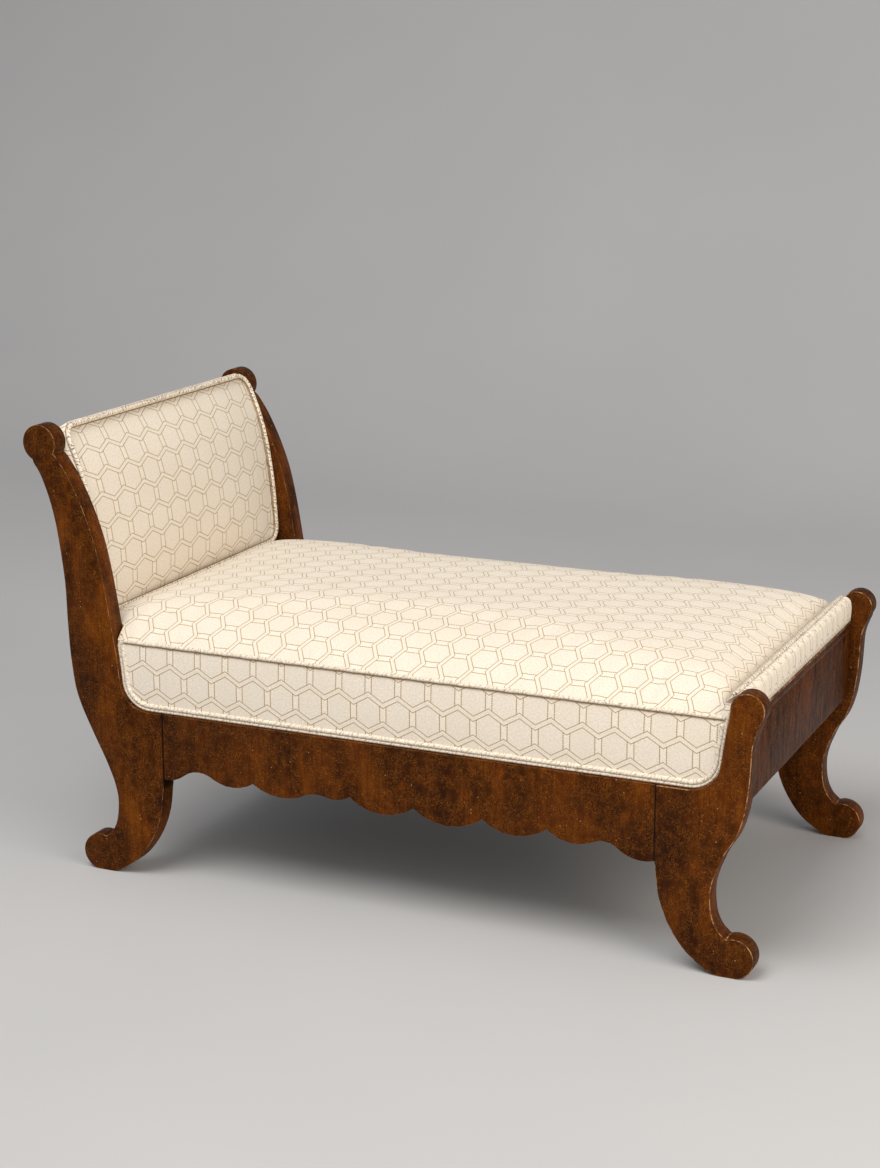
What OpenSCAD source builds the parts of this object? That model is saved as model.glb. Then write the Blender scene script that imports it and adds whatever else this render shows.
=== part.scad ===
// A recamier: a daybed with scroll-sawn posts, scalloped aprons, a raised
// curved head and a low padded foot, upholstered over coil springs.
// Millimetres. +X runs to the foot end, the front is at -Y and +Z is up.
// The origin is on the floor, at the middle of the overall length and depth.

/* [Overall size] */
// Length over the roundels at the two ends
overall_length = 1394; // [1320:1:1560]
// Depth over the outer faces of the posts
overall_depth = 760; // [700:1:860]
// Height of the tops of the head roundels
head_height = 834; // [800:1:880]
// Height of the tops of the foot roundels
foot_height = 494; // [486:1:510]

/* [Show wood] */
// Thickness of the sawn posts
post_thickness = 37; // [32:0.5:42]
// Step of the apron's face behind the faces of the posts
apron_recess = 1; // [0.5:0.1:3]
// Height of the wood's top edge along the seat
rail_top = 319; // [312:1:326]
// Height at which the legs run into the bottom of the aprons
leg_height = 190; // [185:1:196]
// Width of a leg from the outside of its scroll to the apron joint
leg_spread = 176; // [168:1:184]
// Radius of the scroll at the foot of each leg
scroll_radius = 35; // [32:0.5:36]
// Radius of the roundels on the head posts
head_roundel = 33.5; // [30:0.5:36]
// Radius of the roundels on the foot posts
foot_roundel = 29; // [27:0.5:31]
// Overhang of a head roundel beyond the scroll under it
head_rake = 97; // [90:1:104]
// Overhang of a foot roundel beyond the scroll under it
foot_rake = 4; // [2:1:10]
// Radius of the sawn corner between a post and the top edge of the apron
corner_radius = 56; // [50:1:60]
// Run of a head post under the seat, from its seat-side edge to the apron joint
head_return = 87; // [82:1:94]
// Run of a foot post under the seat, from its seat-side edge to the apron joint
foot_return = 110; // [104:1:116]
// Lowest line of the scalloped aprons above the floor
scallop_height = 183; // [178:1:188]
// Depth of the scallops, from their lowest line to the top of the arches
scallop_depth = 36; // [28:1:40]

/* [End boards] */
// Thickness of the boards between the posts
board_thickness = 22; // [18:0.5:24]
// Drop of the boards' bottom edges below the wood's top edge
board_drop = 32; // [26:1:40]
// Distance of the foot board's face behind the foot roundels' outside
foot_board_inset = 40; // [36:1:44]
// Thickness of the capping strip on the foot board
cap_thickness = 16; // [12:1:20]
// Distance of the head board's face inside the outer edge of the head posts
head_board_inset = 17; // [14:1:20]
// Height of the head board's top edge above the wood's top edge
head_board_rise = 115; // [108:1:118]

/* [Seat] */
// Height of the front and rear seams above the floor
seam_height = 446; // [440:1:450]
// Distance of the upholstered sides behind the outer faces of the posts
cloth_setback = 12; // [10:0.5:14]
// Height of the seat's crown above its seams
seat_crown = 80; // [60:1:84]
// Height of the seat's ends above its seams
seat_end_rise = 21; // [16:0.5:22]
// Fullness of the seat's rounded ends
seat_end_bulge = 117; // [90:1:130]
// Thickness of the cover cloth
cover_thickness = 1.5; // [1:0.1:2]
// Radius of each cord in the welts
welt_radius = 3; // [2.5:0.1:3.2]
// Height at which the double welts end on the posts
welt_end_height = 460; // [452:1:466]

/* [Head panel] */
// Overall thickness of the upholstered panel, before its crown
panel_thickness = 37; // [36:0.5:40]
// Crown of the panel at its centre
panel_crown = 14; // [8:0.5:18]
// Radius of the panel's corners
panel_corner = 34; // [26:1:40]
// Height of the panel's bottom edge above the seat's seams
panel_lift = 32; // [28:0.5:36]
// Distance of the panel's top edge below the tops of the head roundels
panel_drop = 4; // [2:1:12]
// Radius of the piping round the panel
piping_radius = 4.5; // [4:0.1:5]

/* [Foot roll] */
// Thickness of the padded roll on the foot board, along the length
roll_width = 38; // [34:0.5:40]
// Distance of the roll's top below the tops of the foot roundels
roll_drop = 13; // [9:0.5:18]
// Height of the roll's rounded top
roll_round = 26; // [20:0.5:30]

/* [Seat frame] */
// Thickness of the inner seat rails
rail_thickness = 25; // [20:0.5:27]
// Height of the inner seat rails
rail_depth = 61; // [56:1:64]
// Width of the middle stretcher
stretcher_width = 28; // [22:1:34]
// Height of the middle stretcher
stretcher_depth = 38; // [30:1:46]
// Leg length of the triangular corner blocks
block_leg = 60; // [45:1:70]
// Height of the corner blocks
block_depth = 48; // [40:1:54]

/* [Springing] */
// Columns of springs along the length
spring_columns = 6; // [5:1:7]
// Rows of springs across the depth
spring_rows = 3; // [2:1:3]
// Height of a tied spring
spring_height = 165; // [155:1:168]
// Radius of a spring's end coils
spring_end_radius = 42; // [36:1:46]
// Radius of a spring's waist
spring_waist_radius = 30; // [26:1:34]
// Thickness of the spring wire
spring_wire = 3.4; // [3:0.1:3.8]
// Turns of each spring
spring_turns = 4; // [3:1:5]
// Width of the jute webbing
webbing_width = 60; // [50:1:66]
// Thickness of the jute webbing
webbing_thickness = 1.6; // [1.2:0.1:2]
// Thickness of the lashing twine
twine_thickness = 2.5; // [2:0.1:3]

/* [Joinery] */
// Length of the apron tenons
tenon_length = 32; // [26:1:38]
// Thickness of the apron tenons
tenon_thickness = 12; // [10:0.5:14]
// Length of the stub tenons on boards and inner rails
stub_length = 14; // [10:1:16]
// Thickness of the stub tenons
stub_thickness = 10; // [8:0.5:12]
// Diameter of the dowels in the panel's frame
dowel_diameter = 8; // [6:0.5:9]
// Length of the dowels
dowel_length = 40; // [30:1:50]
// Shank diameter of the wood screws
screw_diameter = 4.5; // [4:0.1:5]
// Length of the wood screws
screw_length = 48; // [42:1:54]

/* [Hidden] */

$fn = 48;

// Clearances and small sizes that many pieces share
cloth_gap = 0.3;
joint_play = 0.15;
end_play = 0.5;
soft_gap = 0.95;
overrun = 5;
curve_steps = 3;

// Places along the length
half_length = overall_length / 2;
head_span = head_rake + leg_spread;
foot_span = foot_rake + leg_spread;
head_shoulder_x = head_span - half_length;
foot_shoulder_x = half_length - foot_span;
apron_length = foot_shoulder_x - head_shoulder_x;

// Places across the depth
face_y = overall_depth / 2;
inner_y = face_y - post_thickness;
apron_y = face_y - apron_recess;
post_middle_y = face_y - post_thickness / 2;
cloth_y = face_y - cloth_setback;
tongue_y = inner_y - cloth_gap;

// Heights
head_roundel_z = head_height - head_roundel;
foot_roundel_z = foot_height - foot_roundel;
corner_z = rail_top + corner_radius;
board_bottom = rail_top - board_drop;
cap_top = foot_height - 2 * foot_roundel;
head_board_top = rail_top + head_board_rise;
panel_bottom = seam_height + panel_lift;
panel_top = head_height - panel_drop;

// Outline of a leg under the apron, outer side, from the scroll upwards,
// in shares of leg_spread and leg_height
leg_outer_shares = [[0.26, 0.34], [0.352, 0.416], [0.403, 0.5], [0.429, 0.589],
    [0.44, 0.684], [0.44, 0.768], [0.429, 0.842], [0.403, 0.932], [0.375, 1]];
// The same leg, inner side, from the apron joint down to the floor
leg_inner_shares = [[1, 1], [0.985, 0.886], [0.955, 0.677], [0.886, 0.485],
    [0.79, 0.323], [0.66, 0.172], [0.5, 0.063], [0.36, 0], [0.2, 0]];
// Outer edge of a head post beside the apron, in shares of head_span and of the
// height from the leg's top to the top of the apron
head_knee_shares = [[0.555, 0.208], [0.474, 0.544], [0.401, 0.861]];
// The same edge from there up, in shares of head_span and of the height from
// the top of the apron to the roundel's centre
head_outer_shares = [[0.373, 0], [0.335, 0.067], [0.305, 0.195], [0.291, 0.344],
    [0.284, 0.474], [0.25, 0.631], [0.221, 0.722], [0.185, 0.797], [0.137, 0.868],
    [0.106, 0.901], [0.077, 0.924], [0.06, 0.957]];
// Outer edge of a foot post, in shares of foot_span and of its own height
foot_outer_shares = [[0.331, 0.091], [0.27, 0.156], [0.209, 0.233], [0.153, 0.364],
    [0.12, 0.531], [0.108, 0.673], [0.103, 0.764], [0.086, 0.829], [0.053, 0.891],
    [0.031, 0.931], [0.044, 0.975]];
// Seat-side edge of a head post above the sawn corner, in shares of the
// post's width there and of the height from the corner to the roundel
head_edge_shares = [[0.973, 0.106], [0.938, 0.2], [0.903, 0.294], [0.858, 0.411],
    [0.806, 0.522], [0.753, 0.611], [0.675, 0.705], [0.586, 0.792], [0.5, 0.863],
    [0.419, 0.917], [0.355, 0.952], [0.312, 0.961]];
// Seat-side edge of a foot post above the sawn corner, in the same way
foot_edge_shares = [[0.964, 0.222], [0.921, 0.444], [0.879, 0.689], [0.843, 0.856],
    [0.821, 0.989], [0.786, 1.11]];
// Face line of the head panel, in the same shares as the head posts' edge
panel_face_shares = [[0.712, 0.02], [0.704, 0.143], [0.69, 0.235], [0.669, 0.388],
    [0.642, 0.529], [0.605, 0.646], [0.567, 0.74], [0.497, 0.858], [0.384, 0.987],
    [0.32, 1.045], [0.276, 1.085]];
// Scallops of the aprons as arcs from the head joint to the foot joint: where
// each arc ends in shares of the apron's length and of scallop_depth, and its
// bulge in shares of scallop_depth, below zero where it hangs down
scallop_start_share = 0.36;
scallop_shares = [[0.047, 0.75, -0.14], [0.109, 0.75, 0.25], [0.196, 0.83, -0.32],
    [0.311, 0.69, -0.42], [0.351, 0.73, 0.08], [0.401, 0.92, -0.15],
    [0.532, 0.83, -0.6], [0.67, 0.81, -0.61], [0.796, 0.81, -0.56],
    [0.888, 0.56, -0.36], [0.928, 0.47, 0.14], [1, 0.06, -0.25]];
// Places of the grid lines on the seat, in shares of its half length and depth
seat_length_shares = [0.01, 0.035, 0.08, 0.16, 0.28, 0.45, 0.7];
seat_depth_shares = [0, 0.27, 0.5, 0.68, 0.81];

// A list in the opposite order
function reversed(list) = [for (i = [len(list) - 1:-1:0]) list[i]];

// Value a share t of the way from a to b
function mix(a, b, t) = a + (b - a) * t;

// Shares turned into points: span is the size of one whole share
function placed(shares, base, span) =
    [for (s = shares) [base.x + s.x * span.x, base.y + s.y * span.y]];

// Point at share t of the smooth curve between b and c, with a and d beyond
function curve_point(a, b, c, d, t) =
    (2 * b + (c - a) * t + (2 * a - 5 * b + 4 * c - d) * pow(t, 2)
        + (3 * b - a - 3 * c + d) * pow(t, 3)) / 2;

// Smooth curve through all knots, each stretch cut into equal steps
function smooth_curve(knots, steps = curve_steps) = let (last = len(knots) - 1)
    [for (i = [0:last - 1]) for (k = [0:steps - 1])
        curve_point(knots[max(i - 1, 0)], knots[i], knots[i + 1],
            knots[min(i + 2, last)], k / steps), knots[last]];

// Arc from a to b whose middle stands off the chord by the bulge
function bulged(a, b, bulge, steps = 6) = let (chord = b - a, across = norm(chord),
        radius = (pow(across / 2, 2) + pow(bulge, 2)) / (2 * abs(bulge)),
        side = sign(bulge), normal = [-chord.y, chord.x] / across * side,
        centre = (a + b) / 2 + normal * (abs(bulge) - radius),
        half_angle = asin(across / 2 / radius))
    [for (k = [1:steps]) let (turn = half_angle * (1 - 2 * k / steps))
        centre + radius * (normal * cos(turn) - chord / across * sin(turn))];

// Horizontal place of a curve at a height, from its points in rising order
function place_at(curve, height) = lookup(height, [for (p = curve) [p.y, p.x]]);

// The part of a rising curve below a height, closed by a point at that height
function below(curve, height) = concat([for (p = curve) if (p.y < height) p],
    [[place_at(curve, height), height]]);

// A path moved sideways, to the left of its direction
function shifted(path, distance) = let (last = len(path) - 1)
    [for (i = [0:last]) let (along = path[min(i + 1, last)] - path[max(i - 1, 0)])
        path[i] + [-along.y, along.x] / norm(along) * distance];

// Sawn corner, from the apron's top edge towards the post's seat-side edge
function corner_arc(edge_place, steps = 6) = [for (k = [0:steps - 1])
    let (turn = 90 * k / steps)
    [edge_place + corner_radius * (1 - sin(turn)), corner_z - corner_radius * cos(turn)]];

// Outlines of the posts, as distances from the end of the recamier and heights
head_edge_place = head_span - head_return;
foot_edge_place = foot_span - foot_return;
head_edge = concat(corner_arc(head_edge_place),
    smooth_curve(concat([[head_edge_place, corner_z]], placed(head_edge_shares,
        [0, corner_z], [head_edge_place, head_roundel_z - corner_z]))));
foot_edge = concat(corner_arc(foot_edge_place),
    smooth_curve(concat([[foot_edge_place, corner_z]], placed(foot_edge_shares,
        [0, corner_z], [foot_edge_place, foot_roundel_z - corner_z]))));
head_outer = smooth_curve(concat(
    placed(leg_outer_shares, [head_rake, 0], [leg_spread, leg_height]),
    placed(head_knee_shares, [0, leg_height], [head_span, rail_top - leg_height]),
    placed(head_outer_shares, [0, rail_top], [head_span, head_roundel_z - rail_top])));
foot_outer = smooth_curve(concat(
    placed(leg_outer_shares, [foot_rake, 0], [leg_spread, leg_height]),
    placed(foot_outer_shares, [0, leg_height], [foot_span, foot_roundel_z - leg_height])));

// The same edges in the part's own frame
head_edge_path = [for (p = head_edge) p - [half_length, 0]];
foot_edge_path = [for (p = foot_edge) [half_length - p.x, p.y]];
head_outer_path = [for (p = head_outer) p - [half_length, 0]];
panel_face_path = smooth_curve([for (p = placed(panel_face_shares, [0, corner_z],
    [head_edge_place, head_roundel_z - corner_z])) p - [half_length, 0]]);

// Faces that the seat meets at its ends
function panel_x(z) = place_at(panel_face_path, z);
function head_board_x(z) = head_board_inset + mix(place_at(head_outer_path, rail_top),
    place_at(head_outer_path, head_board_top), (z - rail_top) / head_board_rise);
foot_board_x = half_length - foot_board_inset;
foot_board_back_x = foot_board_x - board_thickness;
roll_back_x = foot_board_x - roll_width;

// Layers of the head panel, as depths behind its face line
pad_depth = cover_thickness + soft_gap;
burlap_thickness = 1.2;
panel_webbing_thickness = 1.3;
panel_frame_thickness = 17.5;
panel_frame_depth = panel_thickness - panel_frame_thickness - cover_thickness - cloth_gap;
across_depth = panel_frame_depth - cloth_gap - panel_webbing_thickness;
upright_depth = across_depth - joint_play - panel_webbing_thickness;
burlap_depth = upright_depth - cloth_gap - burlap_thickness;
stile_width = 45;
panel_rail_width = 52;
frame_inset = cover_thickness + soft_gap;

// The panel's top is cut square to its leaning face: how far the cut drops for
// its depth, and the height of a point of the outline at a depth
corner_base = panel_top - panel_corner;
top_slope = (panel_x(corner_base) - panel_x(panel_top)) / panel_corner;
square_drop = top_slope / (1 + pow(top_slope, 2));
function squared(z, depth) =
    z - square_drop * depth * max(0, z - corner_base) / panel_corner;
frame_top = panel_top - square_drop * panel_thickness - frame_inset;

// Seat frame inside the show wood
rail_bottom = rail_top - rail_depth;
long_rail_y = inner_y - rail_thickness;
frame_head_x = head_board_x(board_bottom) + board_thickness + cloth_gap;
frame_foot_x = foot_board_back_x - cloth_gap;
spring_head_x = frame_head_x + rail_thickness;
spring_foot_x = frame_foot_x - rail_thickness;
column_pitch = (spring_foot_x - spring_head_x) / spring_columns;
row_pitch = 2 * long_rail_y / spring_rows;
stretcher_x = spring_head_x + column_pitch * floor(spring_columns / 2);
screw_z = rail_bottom + rail_depth / 2;
spring_top = rail_bottom + spring_height;
lashing_top = spring_top + 2 * twine_thickness;
burlap_top = lashing_top + cloth_gap + burlap_thickness;
burlap_hem = 8;
spring_margin = 12;
burlap_shelf_y = row_pitch * (spring_rows - 1) / 2 + spring_end_radius + spring_margin;

// Ends and edges of the crowned seat
seat_head_x = panel_x(seam_height) - panel_frame_depth + end_play;
panel_foot_x = panel_x(panel_bottom);
seat_foot_x = roll_back_x - cloth_gap;
seat_half = (seat_foot_x - seat_head_x) / 2;
stuffing_top = seam_height - 4 * cover_thickness;
flank_head_x = place_at(head_edge_path, stuffing_top) + cloth_gap;
flank_foot_x = place_at(foot_edge_path, stuffing_top) - cloth_gap;

// Height of the seat's surface: a full cross section that is drawn down to
// its seams, blended with ends that round down to the panel and the roll
crown_power = 4.5;
blend_power = 4;
function seat_end(x) = let (inward = max(0, min(x - panel_foot_x, seat_foot_x - x)))
    seat_end_rise + seat_end_bulge * sqrt(inward / seat_half);
function seat_cross(y) = seat_crown * (1 - pow(min(abs(y) / cloth_y, 1), crown_power));
function seat_height(x, y) = let (cross = max(seat_cross(y), seat_crown / 1000))
    seam_height + pow(pow(cross, -blend_power) + pow(seat_end(x), -blend_power),
        -1 / blend_power);

seat_xs = concat([seat_head_x, flank_head_x],
    [for (s = seat_length_shares) if (seat_head_x + s * seat_half > flank_head_x + overrun)
        seat_head_x + s * seat_half],
    [seat_head_x + seat_half],
    [for (s = reversed(seat_length_shares)) seat_foot_x - s * seat_half],
    [seat_foot_x, flank_foot_x]);
function seat_ys(edges) = let (side = concat([for (s = seat_depth_shares) s * cloth_y],
        [tongue_y], edges)) concat([for (y = reversed(side)) -y],
    [for (i = [1:len(side) - 1]) side[i]]);

// True where the seat covers the plan: between the posts it runs from the
// panel to the roll, and beyond them from edge to edge of the posts
function in_seat(x, y) = abs(y) < tongue_y ? x < seat_foot_x : x > flank_head_x;

// Solid between two surfaces over a grid, with triangles for faces
module surface_slab(xs, ys, lower, upper, covers) {
    columns = len(ys);
    count = len(xs) * columns;
    function held(i, j) = i >= 0 && j >= 0 && i < len(xs) - 1 && j < columns - 1
        && covers((xs[i] + xs[i + 1]) / 2, (ys[j] + ys[j + 1]) / 2);
    function wall(a, b) = [[a, a + count, b + count], [a, b + count, b]];
    cells = [for (i = [0:len(xs) - 2]) for (j = [0:columns - 2]) if (held(i, j)) [i, j]];
    polyhedron(
        points = concat([for (x = xs) for (y = ys) [x, y, upper(x, y)]],
            [for (x = xs) for (y = ys) [x, y, lower(x, y)]]),
        faces = [for (cell = cells) let (i = cell.x, j = cell.y, a = i * columns + j,
                b = a + 1, c = b + columns, d = a + columns)
            each concat([[a, b, c], [a, c, d],
                    [a + count, c + count, b + count], [a + count, d + count, c + count]],
                held(i - 1, j) ? [] : wall(a, b), held(i, j + 1) ? [] : wall(b, c),
                held(i + 1, j) ? [] : wall(c, d), held(i, j - 1) ? [] : wall(d, a))]);
}

// Solid skinned over rings of points, as an open run or a closed loop
module skin(rings, loop = false) {
    sides = len(rings[0]);
    count = len(rings);
    end = (count - 1) * sides;
    polyhedron(points = [for (ring = rings) each ring],
        faces = concat(
            [for (k = [0:count - (loop ? 1 : 2)]) for (s = [0:sides - 1])
                let (a = k * sides + s, b = k * sides + (s + 1) % sides,
                    d = (k + 1) % count * sides + s,
                    c = (k + 1) % count * sides + (s + 1) % sides)
                each [[a, b, c], [a, c, d]]],
            loop ? [] : [for (s = [1:sides - 2]) each
                [[0, s + 1, s], [end, end + s, end + s + 1]]]));
}

// Drawing of the X-Z plane, given depth from y_from to y_to
module across_depth_of(y_from, y_to) {
    translate([0, y_to, 0]) rotate([90, 0, 0]) linear_extrude(y_to - y_from) children();
}

// The piece and its mirror image at the rear
module front_and_rear() {
    children();
    mirror([0, 1, 0]) children();
}

// Outline of a post: sawn body, roundel and scroll, cut flat at the floor
module post_outline(span, rake, edge, outer, roundel, roundel_z) {
    body = concat([[span, rail_top]], edge, reversed(outer),
        reversed(smooth_curve(placed(leg_inner_shares, [rake, 0],
            [leg_spread, leg_height]))));
    intersection() {
        union() {
            polygon(body);
            translate([roundel, roundel_z]) circle(roundel);
            translate([rake + scroll_radius, scroll_radius - end_play]) circle(scroll_radius);
        }
        square([overall_length, head_height + overrun]);
    }
}

// Tenon block between two heights, centred on x and y
module tongue(x, y, length, thickness, bottom, top, play) {
    translate([x - length / 2 - play, y - thickness / 2 - play, bottom - play])
        cube([length + 2 * play, thickness + 2 * play, top - bottom + 2 * play]);
}

// Tenon of an apron, into the post whose joint is at x
tenon_margin = 24;
module apron_tenon(x, inward, play) {
    tongue(x - inward * tenon_length / 2, post_middle_y, tenon_length, tenon_thickness,
        leg_height + tenon_margin, rail_top - tenon_margin, play);
}

// Countersunk wood screw, point along +Z from the plane of its head
screw_head_depth = 2.6;
screw_tip_depth = 5;
screw_tip_radius = 0.6;
module screw(play) {
    shank = screw_diameter / 2 + play;
    rotate_extrude() polygon([[0, -play], [2 * shank, -play], [2 * shank, 0],
        [shank, screw_head_depth + play], [shank, screw_length - screw_tip_depth],
        [screw_tip_radius + play, screw_length + play], [0, screw_length + play]]);
}

// Screws that hold the inner long rails to the aprons, on the rear side
rail_screw_share = 0.14;
rail_screw_count = 4;
module rail_screw_set(play) {
    reach = spring_foot_x - spring_head_x;
    for (k = [0:rail_screw_count - 1])
        let (share = mix(rail_screw_share, 1 - rail_screw_share, k / (rail_screw_count - 1)))
            translate([spring_head_x + reach * share, long_rail_y, screw_z])
                rotate([-90, 0, 0]) screw(play);
}

// Screws through the corner blocks, at the rear corners
module block_screw_set(play) {
    inset = block_leg / 2;
    for (end = [0, 1])
        translate([end == 0 ? spring_head_x + inset : spring_foot_x - inset,
                long_rail_y - inset, screw_z])
            rotate([0, 0, end == 0 ? 135 : 45]) rotate([0, 90, 0]) screw(play);
}

// Screws that hold the panel's stiles to the head posts, on the rear side
panel_screw_shares = [0.18, 0.5, 0.8];
stile_face_y = inner_y - cloth_gap;
frame_y = stile_face_y - frame_inset;
panel_screw_y = stile_face_y - stile_width / 2;
module panel_screw_set(play) {
    for (share = panel_screw_shares)
        let (z = mix(head_board_top, panel_top, share))
            translate([panel_x(z) - panel_frame_depth - panel_frame_thickness / 2,
                    panel_screw_y, z])
                rotate([-90, 0, 0]) screw(play);
}

module head_post() {
    difference() {
        across_depth_of(inner_y, face_y) translate([-half_length, 0])
            post_outline(head_span, head_rake, head_edge, head_outer, head_roundel,
                head_roundel_z);
        apron_tenon(head_shoulder_x, 1, joint_play);
        head_board_body(joint_play);
        panel_screw_set(joint_play);
    }
}

module foot_post() {
    difference() {
        across_depth_of(inner_y, face_y) translate([half_length, 0]) mirror([1, 0])
            post_outline(foot_span, foot_rake, foot_edge, foot_outer, foot_roundel,
                foot_roundel_z);
        apron_tenon(foot_shoulder_x, -1, joint_play);
        foot_board_body(joint_play);
    }
}

wood = [0.36, 0.17, 0.06];
inner_wood = [0.72, 0.55, 0.36];
cloth = [0.92, 0.87, 0.78];
jute = [0.66, 0.5, 0.3];
felt = [0.93, 0.91, 0.86];
steel = [0.62, 0.63, 0.66];

module head_post_front() color(wood) mirror([0, 1, 0]) head_post();
module head_post_rear() color(wood) head_post();
module foot_post_front() color(wood) mirror([0, 1, 0]) foot_post();
module foot_post_rear() color(wood) foot_post();

// Apron with its scalloped edge, on the rear side
function scallops(i = 0, from = [0, scallop_start_share * scallop_depth]) =
    i == len(scallop_shares) ? [] : let (s = scallop_shares[i],
            to = [s.x * apron_length, s.y * scallop_depth])
        concat(bulged(from, to, s.z * scallop_depth), scallops(i + 1, to));

module apron() {
    edge = concat([[0, scallop_start_share * scallop_depth]], scallops());
    difference() {
        union() {
            across_depth_of(inner_y, apron_y) translate([head_shoulder_x, scallop_height])
                polygon(concat([[apron_length, rail_top - scallop_height],
                    [0, rail_top - scallop_height]], edge));
            apron_tenon(head_shoulder_x, 1, 0);
            apron_tenon(foot_shoulder_x, -1, 0);
        }
        rail_screw_set(joint_play);
    }
}
module apron_front() color(wood) mirror([0, 1, 0]) apron();
module apron_rear() color(wood) apron();

// Board with a stub tenon at each end, from its profile in the X-Z plane;
// the tenons take the middle of its thickness and stop short of its edges
stub_margin = 14;
module stub_board(profile, stub_profile, play) {
    union() {
        across_depth_of(-inner_y, inner_y) polygon(profile);
        across_depth_of(-inner_y - stub_length - play, inner_y + stub_length + play)
            offset_profile(stub_profile, play);
    }
}
// Profile of a tenon, a little larger all round where it cuts its mortise
module offset_profile(points, play) {
    polygon([points[0] + [-play, -play], points[1] + [play, -play],
        points[2] + [play, play], points[3] + [-play, play]]);
}

module foot_board_body(play) {
    cheek = (board_thickness - stub_thickness) / 2;
    top = cap_top - cap_thickness;
    stub_board([[foot_board_back_x, board_bottom], [foot_board_x, board_bottom],
            [foot_board_x, top], [foot_board_back_x, top]],
        [[foot_board_back_x + cheek, board_bottom + stub_margin],
            [foot_board_x - cheek, board_bottom + stub_margin],
            [foot_board_x - cheek, top - stub_margin],
            [foot_board_back_x + cheek, top - stub_margin]], play);
}
module foot_board() color(wood) foot_board_body(0);

// Capping strip, a little proud of the foot board, with an eased outer edge
cap_proud = 1.5;
cap_ease = 2;
module foot_cap() color(wood) {
    face = foot_board_x + cap_proud;
    bottom = cap_top - cap_thickness;
    across_depth_of(-inner_y, inner_y) polygon([[foot_board_back_x, bottom], [face, bottom],
        [face, cap_top - cap_ease], [face - cap_ease, cap_top], [foot_board_back_x, cap_top]]);
}

// Head board, leaning with the head posts
function leaning(low, high, cheek) = [[head_board_x(low) + cheek, low],
    [head_board_x(low) + board_thickness - cheek, low],
    [head_board_x(high) + board_thickness - cheek, high],
    [head_board_x(high) + cheek, high]];
module head_board_body(play) {
    cheek = (board_thickness - stub_thickness) / 2;
    low = board_bottom + stub_margin;
    high = head_board_top - stub_margin;
    stub_board(leaning(board_bottom, head_board_top, 0), leaning(low, high, cheek), play);
}
module head_board() color(wood) head_board_body(0);

// Inner long rail on the rear side, with mortises for the cross rails
module cross_rail_body(x, play) {
    tongue(x, 0, rail_thickness, 2 * long_rail_y, rail_bottom, rail_top, 0);
    tongue(x, 0, stub_thickness, 2 * (long_rail_y + stub_length),
        rail_bottom + stub_margin, rail_top - stub_margin, play);
}
module stretcher_body(play) {
    top = rail_bottom + stretcher_depth;
    tongue(stretcher_x, 0, stretcher_width, 2 * long_rail_y, rail_bottom, top, 0);
    tongue(stretcher_x, 0, stub_thickness, 2 * (long_rail_y + stub_length),
        rail_bottom + stub_margin, top, play);
}
head_rail_x = frame_head_x + rail_thickness / 2;
foot_rail_x = frame_foot_x - rail_thickness / 2;

module seat_rail() {
    difference() {
        translate([frame_head_x, long_rail_y, rail_bottom])
            cube([frame_foot_x - frame_head_x, rail_thickness, rail_depth]);
        cross_rail_body(head_rail_x, joint_play);
        cross_rail_body(foot_rail_x, joint_play);
        stretcher_body(joint_play);
        rail_screw_set(joint_play);
        block_screw_set(joint_play);
        front_and_rear() tack_set(joint_play);
    }
}
module seat_rail_front() color(inner_wood) mirror([0, 1, 0]) seat_rail();
module seat_rail_rear() color(inner_wood) seat_rail();

module cross_rail(x) {
    difference() {
        cross_rail_body(x, 0);
        front_and_rear() block_screw_set(joint_play);
        front_and_rear() tack_set(joint_play);
    }
}
module seat_rail_head() color(inner_wood) cross_rail(head_rail_x);
module seat_rail_foot() color(inner_wood) cross_rail(foot_rail_x);
module seat_stretcher() color(inner_wood) stretcher_body(0);

module corner_blocks() color(inner_wood) difference() {
    front_and_rear() for (end = [0, 1])
        translate([end == 0 ? spring_head_x : spring_foot_x, long_rail_y,
                screw_z - block_depth / 2])
            mirror([end, 0, 0]) linear_extrude(block_depth)
                polygon([[0, 0], [0, -block_leg], [block_leg, 0]]);
    front_and_rear() block_screw_set(joint_play);
}

module rail_screws() color(steel) front_and_rear() rail_screw_set(0);
module block_screws() color(steel) front_and_rear() block_screw_set(0);

// Webbing: bands under every spring and between them, woven over and under
lengthwise_count = 2 * spring_rows - 1;
crosswise_count = 2 * spring_columns - 1;
function lengthwise_y(j) = row_pitch * (j - (lengthwise_count - 1) / 2) / 2;
function crosswise_x(i) = spring_head_x + column_pitch * (i + 1) / 2;
weave_slack = 3;
rail_margin = 4;

// Top line of a woven band: high where it lies over, low where it goes under
function woven_line(from, to, crossings, first_over) = concat(
    [[from, rail_bottom], [from + rail_thickness - rail_margin, rail_bottom]],
    [for (k = [0:len(crossings) - 1]) let (under = (k + first_over) % 2 == 1,
            reach = webbing_width / 2 + weave_slack,
            level = rail_bottom - (under ? webbing_thickness : 0))
        each [[crossings[k] - reach, level], [crossings[k] + reach, level]]],
    [[to - rail_thickness + rail_margin, rail_bottom], [to, rail_bottom]]);
module woven_band(line) {
    polygon(concat(line, [for (p = reversed(line)) p - [0, webbing_thickness]]));
}

webbing_head_x = frame_head_x + rail_margin;
webbing_foot_x = frame_foot_x - rail_margin;
webbing_y = inner_y - rail_margin;

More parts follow.
